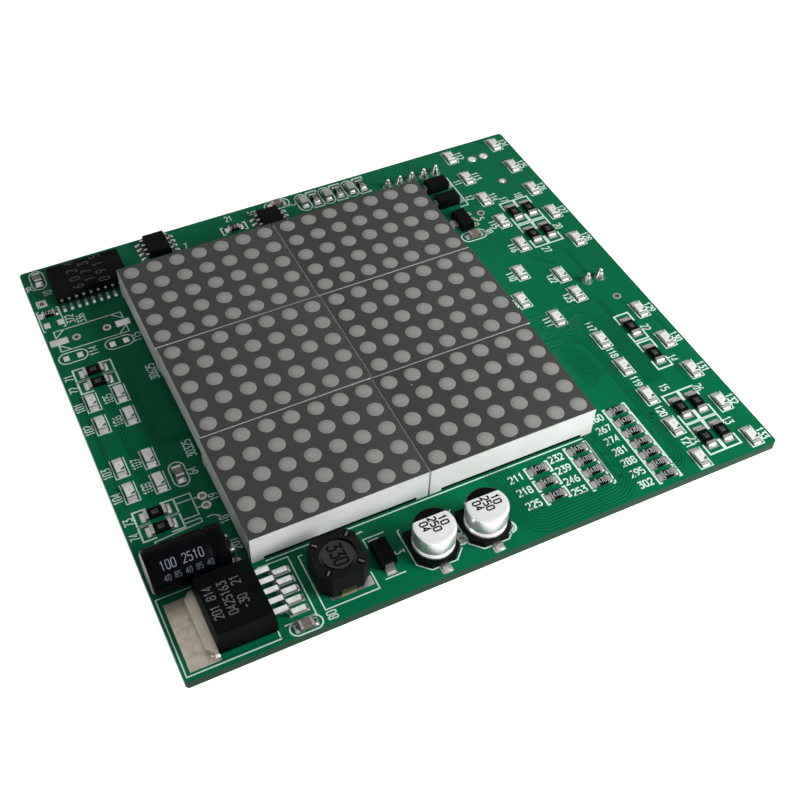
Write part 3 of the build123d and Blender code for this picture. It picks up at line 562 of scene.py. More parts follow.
# Mouldings, ceramics and lacquer
HOUSING = housing_finish()
FACE = face_finish()
LENS = dot_finish()
FIRED = ceramic_finish()
POTTING = drifting("pale_potting", (0.62, 0.62, 0.57), (0.5, 0.5, 0.46), drift=90.0, depth=0.3)
SLEEVE = drifting(
    "black_sleeve", (0.0015, 0.0018, 0.0022), (0.002, 0.0024, 0.003), DARK,
    drift=200.0, gloss=(0.24, 0.38), grain=900.0,
)
CHIP = drifting(
    "chip_moulding", (0.004, 0.004, 0.004), (0.007, 0.007, 0.007), DARK,
    drift=150.0, gloss=(0.42, 0.58), grain=4200.0, depth=0.6,
)
POWER_CHIP = drifting(
    "power_moulding", (0.002, 0.003, 0.003), (0.004, 0.005, 0.005), DARK,
    drift=110.0, gloss=(0.36, 0.5), grain=3800.0, depth=0.45,
)
CAP_BASE = drifting(
    "cap_base_plastic", (0.004, 0.005, 0.005), (0.008, 0.009, 0.009), DARK, gloss=(0.3, 0.45)
)
RUBBER = drifting("rubber_bung", (0.02, 0.02, 0.02), (0.03, 0.03, 0.03), gloss=(0.6, 0.8), depth=0.4)
FERRITE = drifting(
    "ferrite_shield", (0.007, 0.008, 0.008), (0.013, 0.014, 0.014), DARK,
    drift=260.0, gloss=(0.38, 0.55), depth=0.5,
)
CORE = drifting(
    "ferrite_core", (0.034, 0.035, 0.035), (0.046, 0.047, 0.047), DARK,
    drift=180.0, gloss=(0.4, 0.55), grain=3200.0, depth=0.5,
)
WINDING = drifting(
    "lacquered_winding", (0.05, 0.02, 0.012), (0.02, 0.01, 0.008), drift=300.0, gloss=(0.3, 0.4)
)
RESISTOR = drifting(
    "resistor_film", (0.003, 0.004, 0.004), (0.006, 0.007, 0.007), DARK, drift=400.0, gloss=(0.2, 0.34)
)
LED = drifting(
    "led_resin", (0.70, 0.73, 0.69), (0.78, 0.80, 0.76), {"Coat Weight": 0.4, "Coat Roughness": 0.12},
    drift=700.0, gloss=(0.22, 0.36),
)
LED_MARK = drifting("led_mark", (0.012, 0.04, 0.026), (0.02, 0.06, 0.036), drift=900.0)
LED_DIE = drifting("led_die", (0.62, 0.50, 0.44), (0.66, 0.56, 0.50), drift=900.0)
SOCKET = drifting("socket_plastic", (0.012, 0.012, 0.013), (0.018, 0.018, 0.019), gloss=(0.35, 0.5))
SHADOW = drifting("painted_shade", (0.002, 0.002, 0.002), (0.003, 0.003, 0.003), DARK, gloss=(0.6, 0.8))

# Prints
CAN_PRINT = drifting("can_print", (0.20, 0.22, 0.27), (0.15, 0.17, 0.21), **PRINT_LOOK)
WHITE_PRINT = drifting("white_print", (0.55, 0.58, 0.60), (0.46, 0.49, 0.51), **PRINT_LOOK)
BLUE_PRINT = drifting("blue_grey_print", (0.075, 0.09, 0.13), (0.055, 0.07, 0.10), **PRINT_LOOK)
GREY_PRINT = drifting("grey_print", (0.13, 0.13, 0.135), (0.10, 0.10, 0.105), **PRINT_LOOK)
FAINT_PRINT = drifting("faint_print", (0.010, 0.010, 0.011), (0.008, 0.008, 0.009), **PRINT_LOOK)
BLACK_PRINT = drifting("black_print", (0.003, 0.003, 0.004), (0.006, 0.006, 0.006), DARK, **PRINT_LOOK)

# Lines on the lying can: piece, text, place left of its middle, angle up its front, height, pen and width
CAN_LINES = [
    ("can_print", "100 2510", 0.9, 60, 1.25, 0.13, 0.42, CAN_PRINT),
    ("can_small_print", "40 85 40 85 40", 0.4, 29, 0.85, 0.1, 0.4, BLUE_PRINT),
]

# Lines on the regulator: text, share of its length and how far to the rear. Lines on the driver chip, how
# far the first is left of its middle, and the step to the next. Then how the figures on the parts are drawn
REGULATOR_LINES = [("201 814", 0.17, 0.0), ("0425163", 0.41, 0.0), ("-30  21", 0.63, 0.2)]
DRIVER_LINES = ["6 0 2 4", "1 7 3", "0 9 1 5"]
DRIVER_FIRST_LINE = 2.4
DRIVER_LINE_STEP = 2.3
REGULATOR_FIGURES = {"high": 1.25, "turn": 90, "pen": 0.15, "width": 0.42}
DRIVER_FIGURES = {"high": 1.7, "turn": 90, "pen": 0.17, "width": 0.4}
INDUCTOR_FIGURES = {"high": 2.0, "turn": -90, "pen": 0.3, "width": 0.42}
UPRIGHT_FIGURES = {"high": 1.12, "turn": -90, "pen": 0.24, "width": 0.52}

# Prints on the resistors: size, text, height, turn where the part lies along X, pen and width
RESISTOR_PRINTS = [
    ("large", "220", 0.62, 180, 0.075, FIGURE_WIDTH, GREY_PRINT),
    ("small", "470", 0.84, 0, 0.09, 0.34, WHITE_PRINT),
]


# Pieces

def finish_piece(mesh, name, material):
    """An object of that mesh on the part's one body, with its finish."""
    mesh.name = name
    mesh.materials.clear()
    mesh.materials.append(material)
    made = bpy.data.objects.new(name, mesh)
    bpy.context.scene.collection.objects.link(made)
    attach(made, "root")
    return made


def mesh_of(shape, smooth=None):
    """The mesh of a bmesh given in millimetres, smooth where faces meet within that many degrees."""
    bmesh.ops.scale(shape, vec=(MM, MM, MM), verts=shape.verts)
    mesh = bpy.data.meshes.new("form")
    shape.to_mesh(mesh)
    shape.free()
    if smooth is not None:
        mesh.shade_smooth()
        mesh.set_sharp_from_angle(angle=math.radians(smooth))
    return mesh


def round_can(can, radius):
    """A drawing surface wrapped on a can that lies along X: y runs up round it from its front side."""
    def place(x, y):
        turn = y / radius
        middle = (can.bottom + can.top) / 2
        return Vector((x, can.y - radius * math.cos(turn), middle + radius * math.sin(turn)))

    return place


def rectangle(x, y, wide, high):
    """The corners of a rectangle round its middle, anticlockwise."""
    sides = ((-1, -1), (1, -1), (1, 1), (-1, 1))
    return [(x + side_x * wide / 2, y + side_y * high / 2) for side_x, side_y in sides]


def arc(x, y, radius, start, end):
    """Points on an arc, by angles in degrees."""
    steps = max(2, round(abs(end - start) / 360 * 4 * STROKE_STEPS))
    turns = [math.radians(start + (end - start) * step / steps) for step in range(steps + 1)]
    return [(x + radius * math.cos(turn), y + radius * math.sin(turn)) for turn in turns]


def circle(x, y, radius):
    """Points all round a circle."""
    return arc(x, y, radius, 0, 360)[:-1]


# The strokes of each figure on a grid one wide and two high, drawn like a plotter would
STROKES = {
    "0": [[(0.2, 0), (0.8, 0), (1, 0.3), (1, 1.7), (0.8, 2), (0.2, 2), (0, 1.7), (0, 0.3), (0.2, 0)]],
    "1": [[(0.15, 1.55), (0.55, 2), (0.55, 0)]],
    "2": [[(0, 1.65), (0.2, 2), (0.8, 2), (1, 1.65), (1, 1.25), (0, 0), (1, 0)]],
    "3": [[(0, 2), (1, 2), (0.45, 1.2), (0.8, 1.2), (1, 0.9), (1, 0.3), (0.8, 0), (0.2, 0), (0, 0.3)]],
    "4": [[(0.75, 0), (0.75, 2), (0, 0.6), (1, 0.6)]],
    "5": [
        [(0.95, 2), (0.05, 2), (0, 1.15), (0.75, 1.15), (1, 0.85), (1, 0.3), (0.8, 0), (0.2, 0), (0, 0.25)]
    ],
    "6": [
        [(0.85, 2), (0.3, 1.6), (0, 0.9), (0, 0.3), (0.2, 0), (0.8, 0), (1, 0.3), (1, 0.75), (0.8, 1.05)]
        + [(0.05, 1.05)]
    ],
    "7": [[(0, 2), (1, 2), (0.35, 0)]],
    "8": [
        [(0.25, 1.05), (0, 0.75), (0, 0.25), (0.2, 0), (0.8, 0), (1, 0.25), (1, 0.75), (0.75, 1.05)]
        + [(0.25, 1.05)],
        [(0.25, 1.05), (0.05, 1.35), (0.05, 1.75), (0.25, 2), (0.75, 2), (0.95, 1.75), (0.95, 1.35)]
        + [(0.75, 1.05)],
    ],
    "9": [
        [(0.95, 0.95), (0.2, 0.95), (0, 1.25), (0, 1.7), (0.2, 2), (0.8, 2), (1, 1.7), (1, 1.1), (0.7, 0.4)]
        + [(0.15, 0)]
    ],
    "-": [[(0.05, 1), (0.95, 1)]],
}


def shifted(points, distance, closed=False):
    """A line moved sideways to its left, with mitred corners."""
    points = [Vector(point) for point in points]
    count = len(points)
    moved = []
    for index, point in enumerate(points):
        runs = []
        if index or closed:
            runs.append((point - points[index - 1]).normalized())
        if index < count - 1 or closed:
            runs.append((points[(index + 1) % count] - point).normalized())
        along = sum(runs, Vector((0, 0)))
        along = along.normalized() if along.length > 1e-6 else runs[0]
        across = Vector((-along.y, along.x))
        moved.append(point + across * distance / max(0.35, across.dot(Vector((-runs[0].y, runs[0].x)))))
    return moved


def eased(points, radius):
    """A line with each inner corner swept round."""
    points = [Vector(point) for point in points]
    swept = [points[0]]
    for before, corner, after in zip(points, points[1:], points[2:]):
        reach = min(radius, (before - corner).length * 0.45, (after - corner).length * 0.45)
        start = corner + (before - corner).normalized() * reach
        end = corner + (after - corner).normalized() * reach
        for step in range(5):
            share = step / 4
            swept.append(start.lerp(corner, share).lerp(corner.lerp(end, share), share))
    return swept + [points[-1]]


class Drawing:
    """Strokes and filled shapes laid on one surface, gathered into a single piece."""

    def __init__(self, place, step=None, below=False):
        self.place = place
        self.step = step
        self.below = below
        self.shape = bmesh.new()

    def face(self, corners):
        """One filled outline, given anticlockwise."""
        self.shape.faces.new([self.shape.verts.new(self.place(x, y)) for x, y in corners])

    def stroke(self, points, pen, closed=False):
        """A line of even width through the points, in short steps where the surface is curved."""
        points = [Vector(point) for point in points]
        if self.step:
            points = [
                start.lerp(end, part / count)
                for start, end in zip(points, points[1:])
                for count in [math.ceil((end - start).length / self.step)]
                for part in range(count)
            ] + [points[-1]]
        left = shifted(points, pen / 2, closed)
        right = shifted(points, -pen / 2, closed)
        count = len(points)
        for index in range(count if closed else count - 1):
            after = (index + 1) % count
            self.face([right[index], right[after], left[after], left[index]])

    def ridge(self, points, pen, closed=False):
        """A low rib along a line: a flat top between two sloping flanks."""
        offsets = [-pen / 2, -pen / 2 + TRACE_FLANK, pen / 2 - TRACE_FLANK, pen / 2]
        heights = [-TRACE_HEIGHT / 3, TRACE_HEIGHT, TRACE_HEIGHT, -TRACE_HEIGHT / 3]
        rows = []
        for offset, height in zip(offsets, heights):
            lift = Vector((0, 0, height))
            line = shifted(points, offset, closed)
            rows.append([self.shape.verts.new(self.place(*point) + lift) for point in line])
        count = len(points)
        for right, left in zip(rows, rows[1:]):
            for index in range(count if closed else count - 1):
                after = (index + 1) % count
                self.shape.faces.new([right[index], right[after], left[after], left[index]])

    def box(self, x, y, wide, high, pen):
        """The outline of a rectangle round its middle."""
        self.stroke(rectangle(x, y, wide, high), pen, closed=True)

    def block(self, x, y, wide, high):
        """A filled rectangle round its middle."""
        self.face(rectangle(x, y, wide, high))

    def stadium(self, x, y, wide, high, pen):
        """An outline with two round ends, lying the longer way."""
        radius = min(wide, high) / 2
        half_x = wide / 2 - radius
        half_y = high / 2 - radius
        if wide > high:
            points = arc(x + half_x, y, radius, -90, 90) + arc(x - half_x, y, radius, 90, 270)
        else:
            points = arc(x, y + half_y, radius, 0, 180) + arc(x, y - half_y, radius, 180, 360)
        self.stroke(points, pen, closed=True)

    def ring(self, x, y, radius, pen):
        """A round line."""
        self.stroke(circle(x, y, radius), pen, closed=True)

    def disc(self, x, y, radius):
        """A filled circle."""
        self.face(circle(x, y, radius))

    def write(self, text, x, y, high=LABEL_HEIGHT, turn=0, pen=LABEL_PEN, width=FIGURE_WIDTH):
        """Figures centred on a point, turned about it in degrees."""
        wide = high * width
        total = ((len(text) - 1) * FIGURE_STEP + 1) * wide
        cos, sin = math.cos(math.radians(turn)), math.sin(math.radians(turn))
        for index, figure in enumerate(text):
            for line in STROKES.get(figure, []):
                points = []
                for across, up in line:
                    u = (index * FIGURE_STEP + across) * wide - total / 2
                    v = (up / 2 - 0.5) * high
                    points.append((x + u * cos - v * sin, y + u * sin + v * cos))
                self.stroke(points, pen)

    def finish(self, name, material, slot):
        """The drawing as one piece, facing down where it lies under the board."""
        if self.below:
            bmesh.ops.reverse_faces(self.shape, faces=self.shape.faces)
        return finish_piece(mesh_of(self.shape), name, material)


def level_drawing(height, below=False):
    """A drawing on the level plane at that height."""
    return Drawing(lambda x, y: Vector((x, y, height)), below=below)


def copies_tree():
    """Copies of one mesh on points, each with its own turn, size and tint."""
    tree, given = new_group(
        "placed_copies",
        "GeometryNodeTree",
        [
            ("Geometry", "Geometry", None),
            ("Original", "Object", None),
            ("Finish", "Material", None),
            ("Unevenness", "Float", 0.0),
            ("Seed", "Int", 1),
        ],
        [("Geometry", "Geometry")],
    )

    def stored(name, form):
        made = add(tree, "GeometryNodeInputNamedAttribute", {"Name": name}, data_type=form)
        return socket(made.outputs, "Attribute")

    def random_value(least, most):
        values = {"Min": least, "Max": most, "Seed": given["Seed"]}
        return socket(add(tree, "FunctionNodeRandomValue", values, data_type="FLOAT").outputs, "Value")

    original = add(tree, "GeometryNodeObjectInfo", {"Object": given["Original"]}).outputs["Geometry"]
    least, most = [math_node(tree, sign, 1.0, given["Unevenness"]) for sign in ("SUBTRACT", "ADD")]
    sizes = {0: stored("size", "FLOAT_VECTOR"), "Scale": random_value(least, most)}
    size = add(tree, "ShaderNodeVectorMath", sizes, operation="SCALE").outputs[0]
    angles = add(tree, "ShaderNodeCombineXYZ", {"Z": stored("turn", "FLOAT")}).outputs[0]
    turn = add(tree, "FunctionNodeEulerToRotation", {0: angles}).outputs[0]
    places = {"Points": given["Geometry"], "Instance": original, "Rotation": turn, "Scale": size}
    placed = add(tree, "GeometryNodeInstanceOnPoints", places).outputs["Instances"]
    tint = {"Geometry": placed, "Name": "tint", "Value": random_value(0.0, 1.0)}
    tinted = add(tree, "GeometryNodeStoreNamedAttribute", tint, data_type="FLOAT", domain="INSTANCE")
    real = add(tree, "GeometryNodeRealizeInstances", {"Geometry": tinted.outputs["Geometry"]})
    dress = {"Geometry": real.outputs["Geometry"], "Material": given["Finish"]}
    dressed = add(tree, "GeometryNodeSetMaterial", dress)
    add(tree, "NodeGroupOutput", {"Geometry": dressed.outputs["Geometry"]})
    return tree


COPIES = copies_tree()


def copies(name, original, places, material, unevenness=0.0, seed=1):
    """One piece of copies of a mesh. A place is (x, y, z, turn in degrees, (size x, size y, size z))."""
    points = bpy.data.meshes.new(name + "_points")
    points.from_pydata([(x * MM, y * MM, z * MM) for x, y, z, turn, size in places], [], [])
    turns = points.attributes.new("turn", "FLOAT", "POINT")
    turns.data.foreach_set("value", [math.radians(place[3]) for place in places])
    sizes = points.attributes.new("size", "FLOAT_VECTOR", "POINT")
    sizes.data.foreach_set("vector", [part for place in places for part in place[4]])
    holder = bpy.data.objects.new(name + "_holder", points)
    model = bpy.data.objects.new(name + "_original", original)
    for made in (holder, model):
        bpy.context.scene.collection.objects.link(made)
    spread = holder.modifiers.new("copies", "NODES")
    spread.node_group = COPIES
    values = {"Original": model, "Finish": material, "Unevenness": unevenness, "Seed": seed}
    for item in COPIES.interface.items_tree:
        if item.in_out == "INPUT" and item.name in values:
            spread[item.identifier] = values[item.name]
    bpy.context.view_layer.update()
    evaluated = holder.evaluated_get(bpy.context.evaluated_depsgraph_get())
    mesh = bpy.data.meshes.new_from_object(evaluated)
    bpy.data.objects.remove(holder)
    bpy.data.objects.remove(model)
    return finish_piece(mesh, name, material)


# Forms that are copied

def soft_block(bevel=0.06):
    """A unit block on its foot with eased edges."""
    shape = bmesh.new()
    bmesh.ops.create_cube(shape, size=1.0)
    bmesh.ops.translate(shape, verts=shape.verts, vec=(0, 0, 0.5))
    bmesh.ops.bevel(shape, geom=shape.edges[:], offset=bevel, segments=2, affect="EDGES", profile=0.6)
    return mesh_of(shape, smooth=40)


def fillet_form():
    """A unit solder fillet: full height at the origin, hollowing down to its toe along +Y."""
    shape = bmesh.new()
    rows = []
    for reach, height in [(0.0, 1.0), (0.12, 0.72), (0.3, 0.42), (0.55, 0.2), (0.8, 0.08), (1.0, 0.0)]:
        half = 0.5 - 0.06 * (1 - height)
        edge, low = half * 0.86, height * 0.86
        section = [(-half, 0), (-edge, low), (0, height), (edge, low), (half, 0)]
        rows.append([shape.verts.new((across, reach, up)) for across, up in section])
    for near, far in zip(rows, rows[1:]):
        for index in range(4):
            shape.faces.new([near[index], far[index], far[index + 1], near[index + 1]])
    shape.faces.new(rows[0])
    bmesh.ops.recalc_face_normals(shape, faces=shape.faces)
    return mesh_of(shape, smooth=60)


def lathe(profile, segments, smooth=35, along="Z", middle=(0, 0, 0), looped=False):
    """A closed round form turned from (radius, height) points, upright or lying along X."""
    shape = bmesh.new()
    turns = [2 * math.pi * index / segments for index in range(segments)]
    rings = []
    for radius, height in profile:
        points = [(radius * math.cos(turn), radius * math.sin(turn), height) for turn in turns]
        rings.append([shape.verts.new(point) for point in (points if radius else points[:1])])
    if looped:
        rings.append(rings[0])
    for low, high in zip(rings, rings[1:]):
        for index in range(segments):
            after = (index + 1) % segments
            places = ((low, index), (low, after), (high, after), (high, index))
            corners = list(dict.fromkeys(ring[place % len(ring)] for ring, place in places))
            if len(corners) > 2:
                shape.faces.new(corners)
    if along == "X":
        for vert in shape.verts:
            vert.co = Vector((vert.co.z, vert.co.y, -vert.co.x))
    bmesh.ops.translate(shape, verts=shape.verts, vec=middle)
    bmesh.ops.recalc_face_normals(shape, faces=shape.faces)
    return mesh_of(shape, smooth=smooth)


def lens_form():
    """One dot: a low dome of unit radius that carries how far out each point is."""
    shape = bmesh.new()
    layer = shape.verts.layers.float.new("ring")
    centre = shape.verts.new((0, 0, 1))
    rows = []
    for step in range(1, DOT_RINGS + 1):
        out = math.sin(math.pi / 2 * step / DOT_RINGS)
        row = []
        for index in range(DOT_SEGMENTS):
            turn = 2 * math.pi * index / DOT_SEGMENTS
            vert = shape.verts.new((out * math.cos(turn), out * math.sin(turn), 1 - out**4))
            vert[layer] = out
            row.append(vert)
        rows.append(row)
    for index in range(DOT_SEGMENTS):
        after = (index + 1) % DOT_SEGMENTS
        shape.faces.new([centre, rows[0][index], rows[0][after]])
        for near, far in zip(rows, rows[1:]):
            shape.faces.new([near[index], far[index], far[after], near[after]])
    shape.faces.new(rows[-1][::-1])
    return mesh_of(shape, smooth=60)


def run_solder(name, places, unevenness=0.05, seed=3):
    """Fillets of run solder, each a little different in size."""
    copies(name, fillet_form(), places, FILLET, unevenness, seed)


# Light, floor and camera

def area_lamp(name, place, target, size, power):
    """A soft square lamp that looks at a point. Lengths are in millimetres."""
    light = bpy.data.lights.new(name, "AREA")
    light.shape = "SQUARE"
    light.size = size * MM
    light.energy = power
    made = bpy.data.objects.new(name, light)
    made.location = Vector(place) * MM
    made.rotation_euler = (Vector(target) - Vector(place)).to_track_quat("-Z", "Y").to_euler()
    bpy.context.scene.collection.objects.link(made)


def studio():
    """A pale floor, a soft sky and two soft lamps, the stronger one at the front right."""
    scene = bpy.context.scene
    scene.view_settings.view_transform = "Standard"
    world = bpy.data.worlds.new("studio")
    scene.world = world
    world.use_nodes = True
    tree = world.node_tree
    background = tree.nodes["Background"]
    background.inputs["Color"].default_value = (1, 1, 1, 1)
    strength = ranged(tree, seen_plainly(tree), 0.0, 1.0, SKY_STRENGTH)
    tree.links.new(strength, background.inputs["Strength"])
    area_lamp("key_lamp", KEY_PLACE, (10, 0, 5), KEY_SIZE, KEY_POWER)
    area_lamp("fill_lamp", FILL_PLACE, (10, -10, 5), FILL_SIZE, FILL_POWER)
    shape = bmesh.new()
    bmesh.ops.create_grid(shape, x_segments=1, y_segments=1, size=FLOOR_SIZE / 2)
    floor = bpy.data.objects.new("floor", mesh_of(shape))
    floor.data.materials.append(floor_finish())
    scene.collection.objects.link(floor)


def camera():
    """The photograph's view."""
    lens = bpy.data.cameras.new("camera")
    lens.sensor_width = 36.0
    lens.lens = CAMERA_LENS
    lens.shift_x, lens.shift_y = CAMERA_SHIFT
    lens.clip_start = 0.01
    made = bpy.data.objects.new("camera", lens)
    made.location = Vector(CAMERA_PLACE) * MM
    made.rotation_euler = Euler([math.radians(turn) for turn in CAMERA_TURN])
    bpy.context.scene.collection.objects.link(made)
    bpy.context.scene.camera = made



# The CAD nodes' own finishes, with the starts of the nodes' names
NODE_FINISHES = [
    (MASK, "circuit_board"),
    (HOUSING, "display_housing"),
    (POTTING, "display_base"),
    (CHIP, ("driver_chip", "logic_chips")),
    (POWER_CHIP, ("regulator_body", "diode_bodies", "transistor_body")),
    (BENT_LEAD, "driver_leads"),
    (LEAD, ("logic_leads", "capacitor_leads", "diode_leads", "round_cap_terminals", "transistor_leads")),
    (SOLDER, "regulator_leads"),
    (TAB, "regulator_tab"),
    (RUBBER, "capacitor_bung"),
    (FERRITE, "inductor_shield"),
    (CORE, "inductor_core"),
    (BRASS, "inductor_clips"),
    (CAP_BASE, "round_cap_bases"),
    (RESISTOR, ("large_resistors", "small_resistors")),
    (FIRED, "chip_capacitors"),
    (LED, "indicator_leds"),
    (SOCKET, ("long_socket", "rear_socket", "side_socket")),
]


def dress_nodes():
    """Give every CAD node that is shown its finish."""
    for name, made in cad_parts.items():
        for material, starts in NODE_FINISHES:
            if name.startswith(starts):
                made.data.materials.clear()
                made.data.materials.append(material)


def dot_lenses():
    """The dots as low milky domes in place of the plain ones."""
    size = (DOT_SIZE / 2, DOT_SIZE / 2, DOT_CROWN)
    places = [(dot.x, dot.y, dot.bottom, 0, size) for dot in solids("display_dots")]
    lenses = copies("dot_lenses", lens_form(), places, LENS, seed=4)
    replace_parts(lenses, "display_dots")


def chip_ends():
    """Metal ends over the ends of the small block parts, with the fillets and pads under them."""
    for name, cap_length in CAP_LENGTHS.items():
        ends, fillets = [], []
        pads = level_drawing(pad_top)
        for chip in solids(name + "s"):
            along_x = chip.long_x > chip.long_y
            length, width = max(chip.long_x, chip.long_y), min(chip.long_x, chip.long_y)
            height = chip.top - chip.bottom
            cap = (width + END_SKIN, cap_length + END_SKIN, height + END_RISE)
            fillet = (width * FILLET_SHARE[0], FILLET_REACH, height * FILLET_SHARE[1])
            pad = (CHIP_PAD_LENGTH, width + CHIP_PAD_MARGIN)
            for side in (-1, 1):
                turn = facing(side, along_x)
                end = moved(chip.x, chip.y, side * (length - cap_length) / 2, along_x)
                ends.append((*end, board_top, turn, cap))
                toe = moved(chip.x, chip.y, side * length / 2, along_x)
                fillets.append((*toe, pad_top, turn, fillet))
                middle = moved(chip.x, chip.y, side * (length / 2 + CHIP_PAD_REACH), along_x)
                pads.block(*middle, *(pad if along_x else pad[::-1]))
        copies(name + "_ends", soft_block(), ends, LEAD)
        run_solder(name + "_fillets", fillets)
        pads.finish(name + "_pads", TIN, "solder")


def shoulder_glints():
    """Painted highlights on the rounded shoulders of the driver chip's leads, where they come out of its
    sides.
    """
    chip = solids("driver_chip")[0]
    places = []
    for lead in solids("driver_leads"):
        side = 1 if lead.y > chip.y else -1
        y = chip.y + side * (chip.long_y / 2 + SHOULDER_REACH)
        places.append((lead.x, y, lead.top - SHOULDER_DROP, 0, SHOULDER_SIZE))
    # Painted highlight: bright solder blocks over the shoulders
    copies("driver_shoulders", soft_block(0.2), places, SOLDER)


def lead_solder():
    """Small beads of solder round the feet of the bent leads, and the pads under them."""
    beads = []
    pads = level_drawing(pad_top)
    for leads, bodies, pad_length, pad_width in LEAD_ROWS:
        bodies_here = solids(bodies)
        for lead in solids(leads):
            body = nearest(bodies_here, lead.x, lead.y)
            along_x = abs(lead.x - body.x) - body.long_x / 2 > abs(lead.y - body.y) - body.long_y / 2
            side = 1 if (lead.x > body.x if along_x else lead.y > body.y) else -1
            reach, breadth = (lead.long_x, lead.long_y) if along_x else (lead.long_y, lead.long_x)
            wide = max(pad_width, breadth + PAD_PAST_LEAD)
            toe = moved(lead.x, lead.y, side * reach / 2, along_x)
            size = (wide * BEAD_SIZE[0], *BEAD_SIZE[1:])
            beads.append((*toe, pad_top, facing(side, along_x), size))
            middle = moved(*toe, -side * (pad_length / 2 - PAD_PAST_TOE), along_x)
            pads.block(*middle, *((pad_length, wide) if along_x else (wide, pad_length)))
    run_solder("lead_fillets", beads, 0.1, seed=5)
    pads.finish("lead_pads", TIN, "solder")


# Printed and plated layers on the board, placed as they stand in the photograph

# Lines round the parts of the left side
LEFT_LABEL_OFFSET = 2.05
CRYSTAL_MIDDLE = (-40.5, 24.2)
CRYSTAL_OUTLINE = (11.5, 4.9)
CRYSTAL_CORNER = 1.55
CRYSTAL_PADS = [(-46.0, 3.0), (-35.1, 2.4)]
BARE_STADIUMS = [(-44.8, 19.95), (-37.0, 19.95)]
STADIUM_SIZE = (4.75, 2.4)
STADIUM_PEN = 0.22
BARE_PAIR = [(-46.8, 28.6), (-44.5, 28.6)]
LARGE_BOX = (6.3, 2.7)
LARGE_BOX_ARM = 2.05
SMALL_BOX_REACH = 1.95
SMALL_BOX_WIDTH = 1.95
SMALL_BOX_ARM = 0.45
REAR_BOX_LENGTH = 4.6
REAR_ROW = (27.3, 32.3)
REAR_ROW_REACH = 1.85
REAR_ROW_HOOK = 0.4
LED_BOX = (2.15, 3.8)
LEFT_LABEL_DROP = 0.3
LED_LABEL_ABOVE = 1.5
LED_LABEL_BESIDE = 1.9
LED_LABEL_DROP = 0.2
RESISTOR_LABEL_INSET = 1.15
STADIUM_EDGE_GAP = 0.02
FRONT_RING_MARGIN = 0.2
LEFT_EXTENSION = [(-39.6, -14.0), (-37.0, -14.0), (-37.0, -18.2), (-39.6, -18.2)]
LEFT_EXTENSION_BAR = [(-39.6, -15.1), (-37.0, -15.1)]
CAN_RING = (-35.3, -23.6, 0.5)
CAN_ARC = (-35.6, -20.6, 1.5, 0, 110)
EMPTY_BOX = (-46.3, 34.02, 1.5, 1.5)
LEFT_HOLES = [(-35.49, -15.22), (-35.49, -17.0)]
CAN_OUTLINE = [(-44.4, -20.9), (-44.4, -20.15), (-37.0, -19.6), (-37.0, -18.9), (-39.6, -18.9)]

# Lines along the front
REGULATOR_BOX = (-47.45, -42.1, -34.0, -29.3)
LEAD_BOX = (-32.9, -40.5, -28.2, -30.4)
INDUCTOR_LINE = [(-26.2, -31.0), (-26.85, -31.0), (-26.85, -40.55), (-18.6, -40.55), (-18.6, -37.6)]
DIODE_LINE = [(-17.35, -34.0), (-17.35, -32.35), (-14.1, -32.35)]
DIODE_BAR = [(-17.3, -39.65), (-14.1, -39.65)]
DISPLAY_LINE = [(-31.3, -29.75), (21.2, -29.75)]
REAR_LINE = [(31.9, 35.0), (31.9, 26.4), (30.2, 26.4)]
ROUND_CAP_OUTLINE = (7.3, 8.1)
ROUND_CAP_SHIFT = (0.1, 0.55)
ROUND_CAP_CUT = 1.65
FRONT_RINGS = [(-4.57, -38.12), (2.73, -39.32)]

# Pads without a part, as sizes and how far from the middle a stadium's two stand, how far the pads of the
# upright cans stand out, the wide pad under the tab, and the pads under the inductor
CRYSTAL_PAD_WIDTH = 1.45
STADIUM_PAD = (0.95, 1.15)
STADIUM_PAD_REACH = 1.15
PAIR_PAD = (1.0, 1.3)
TERMINAL_PAD_MARGIN = 0.6
WIDE_PAD_BOX = (-46.8, -41.65, -42.3, -30.5)
INDUCTOR_PADS = [(-22.2, -38.9, 6.6, 1.5), (-22.4, -32.2, 6.1, 1.4)]

# Free numbers: text, place and turn
LEFT_NUMBERS = [
    ("114", -41.4, 19.9, 90), ("115", -34.0, 19.9, 90), ("372", -42.9, 28.6, 90), ("336", -41.2, 28.0, 90),
    ("64", -35.2, -10.3, 90), ("30625", -34.2, 11.4, 90), ("30325", -34.2, -6.0, 90),
    ("19", -33.95, -16.1, 90), ("18", -33.95, -20.6, 90), ("201", -34.1, -25.2, 90),
    ("80", -26.3, -41.6, 90), ("1", -17.6, -31.0, -90), ("3", -13.5, -36.3, -90), ("29", -47.0, 38.4, 90),
    ("10", -44.6, 36.2, 90),
]
RIGHT_NUMBERS = [
    ("22", 43.5, -13.9, -90), ("14", 43.5, -21.6, -90), ("15", 38.5, -26.3, -90), ("26", 43.5, -28.6, -90),
    ("13", 43.6, -36.2, -90), ("23", 36.4, -37.2, -90), ("17", 38.4, 24.9, -90), ("18", 41.5, 24.9, -90),
    ("27", 38.6, 9.7, -90), ("20", 43.7, 14.3, -90), ("38", 31.6, 18.4, -90), ("11", 33.0, 32.8, -90),
    ("12", 33.0, 28.0, -90), ("5", 31.9, 21.9, -90), ("31", -5.2, 41.0, -90), ("21", -9.7, 41.3, 0),
    ("7", -19.2, 37.6, 0), ("2", 2.5, 40.1, -90),
]
BANK_NUMBER_OFFSET = 3.85
FIRST_BANK_NUMBER = 211
BANK_NUMBER_STEP = 7
BANK_FIGURES = {"high": 1.15, "pen": 0.22, "width": 0.5}
LED_FIGURES = {"high": 1.2, "pen": 0.22, "width": 0.42}
FIRST_LED_NUMBER = 101
LEFT_RESISTOR_NUMBERS = ["71", "72", "73", "74"]

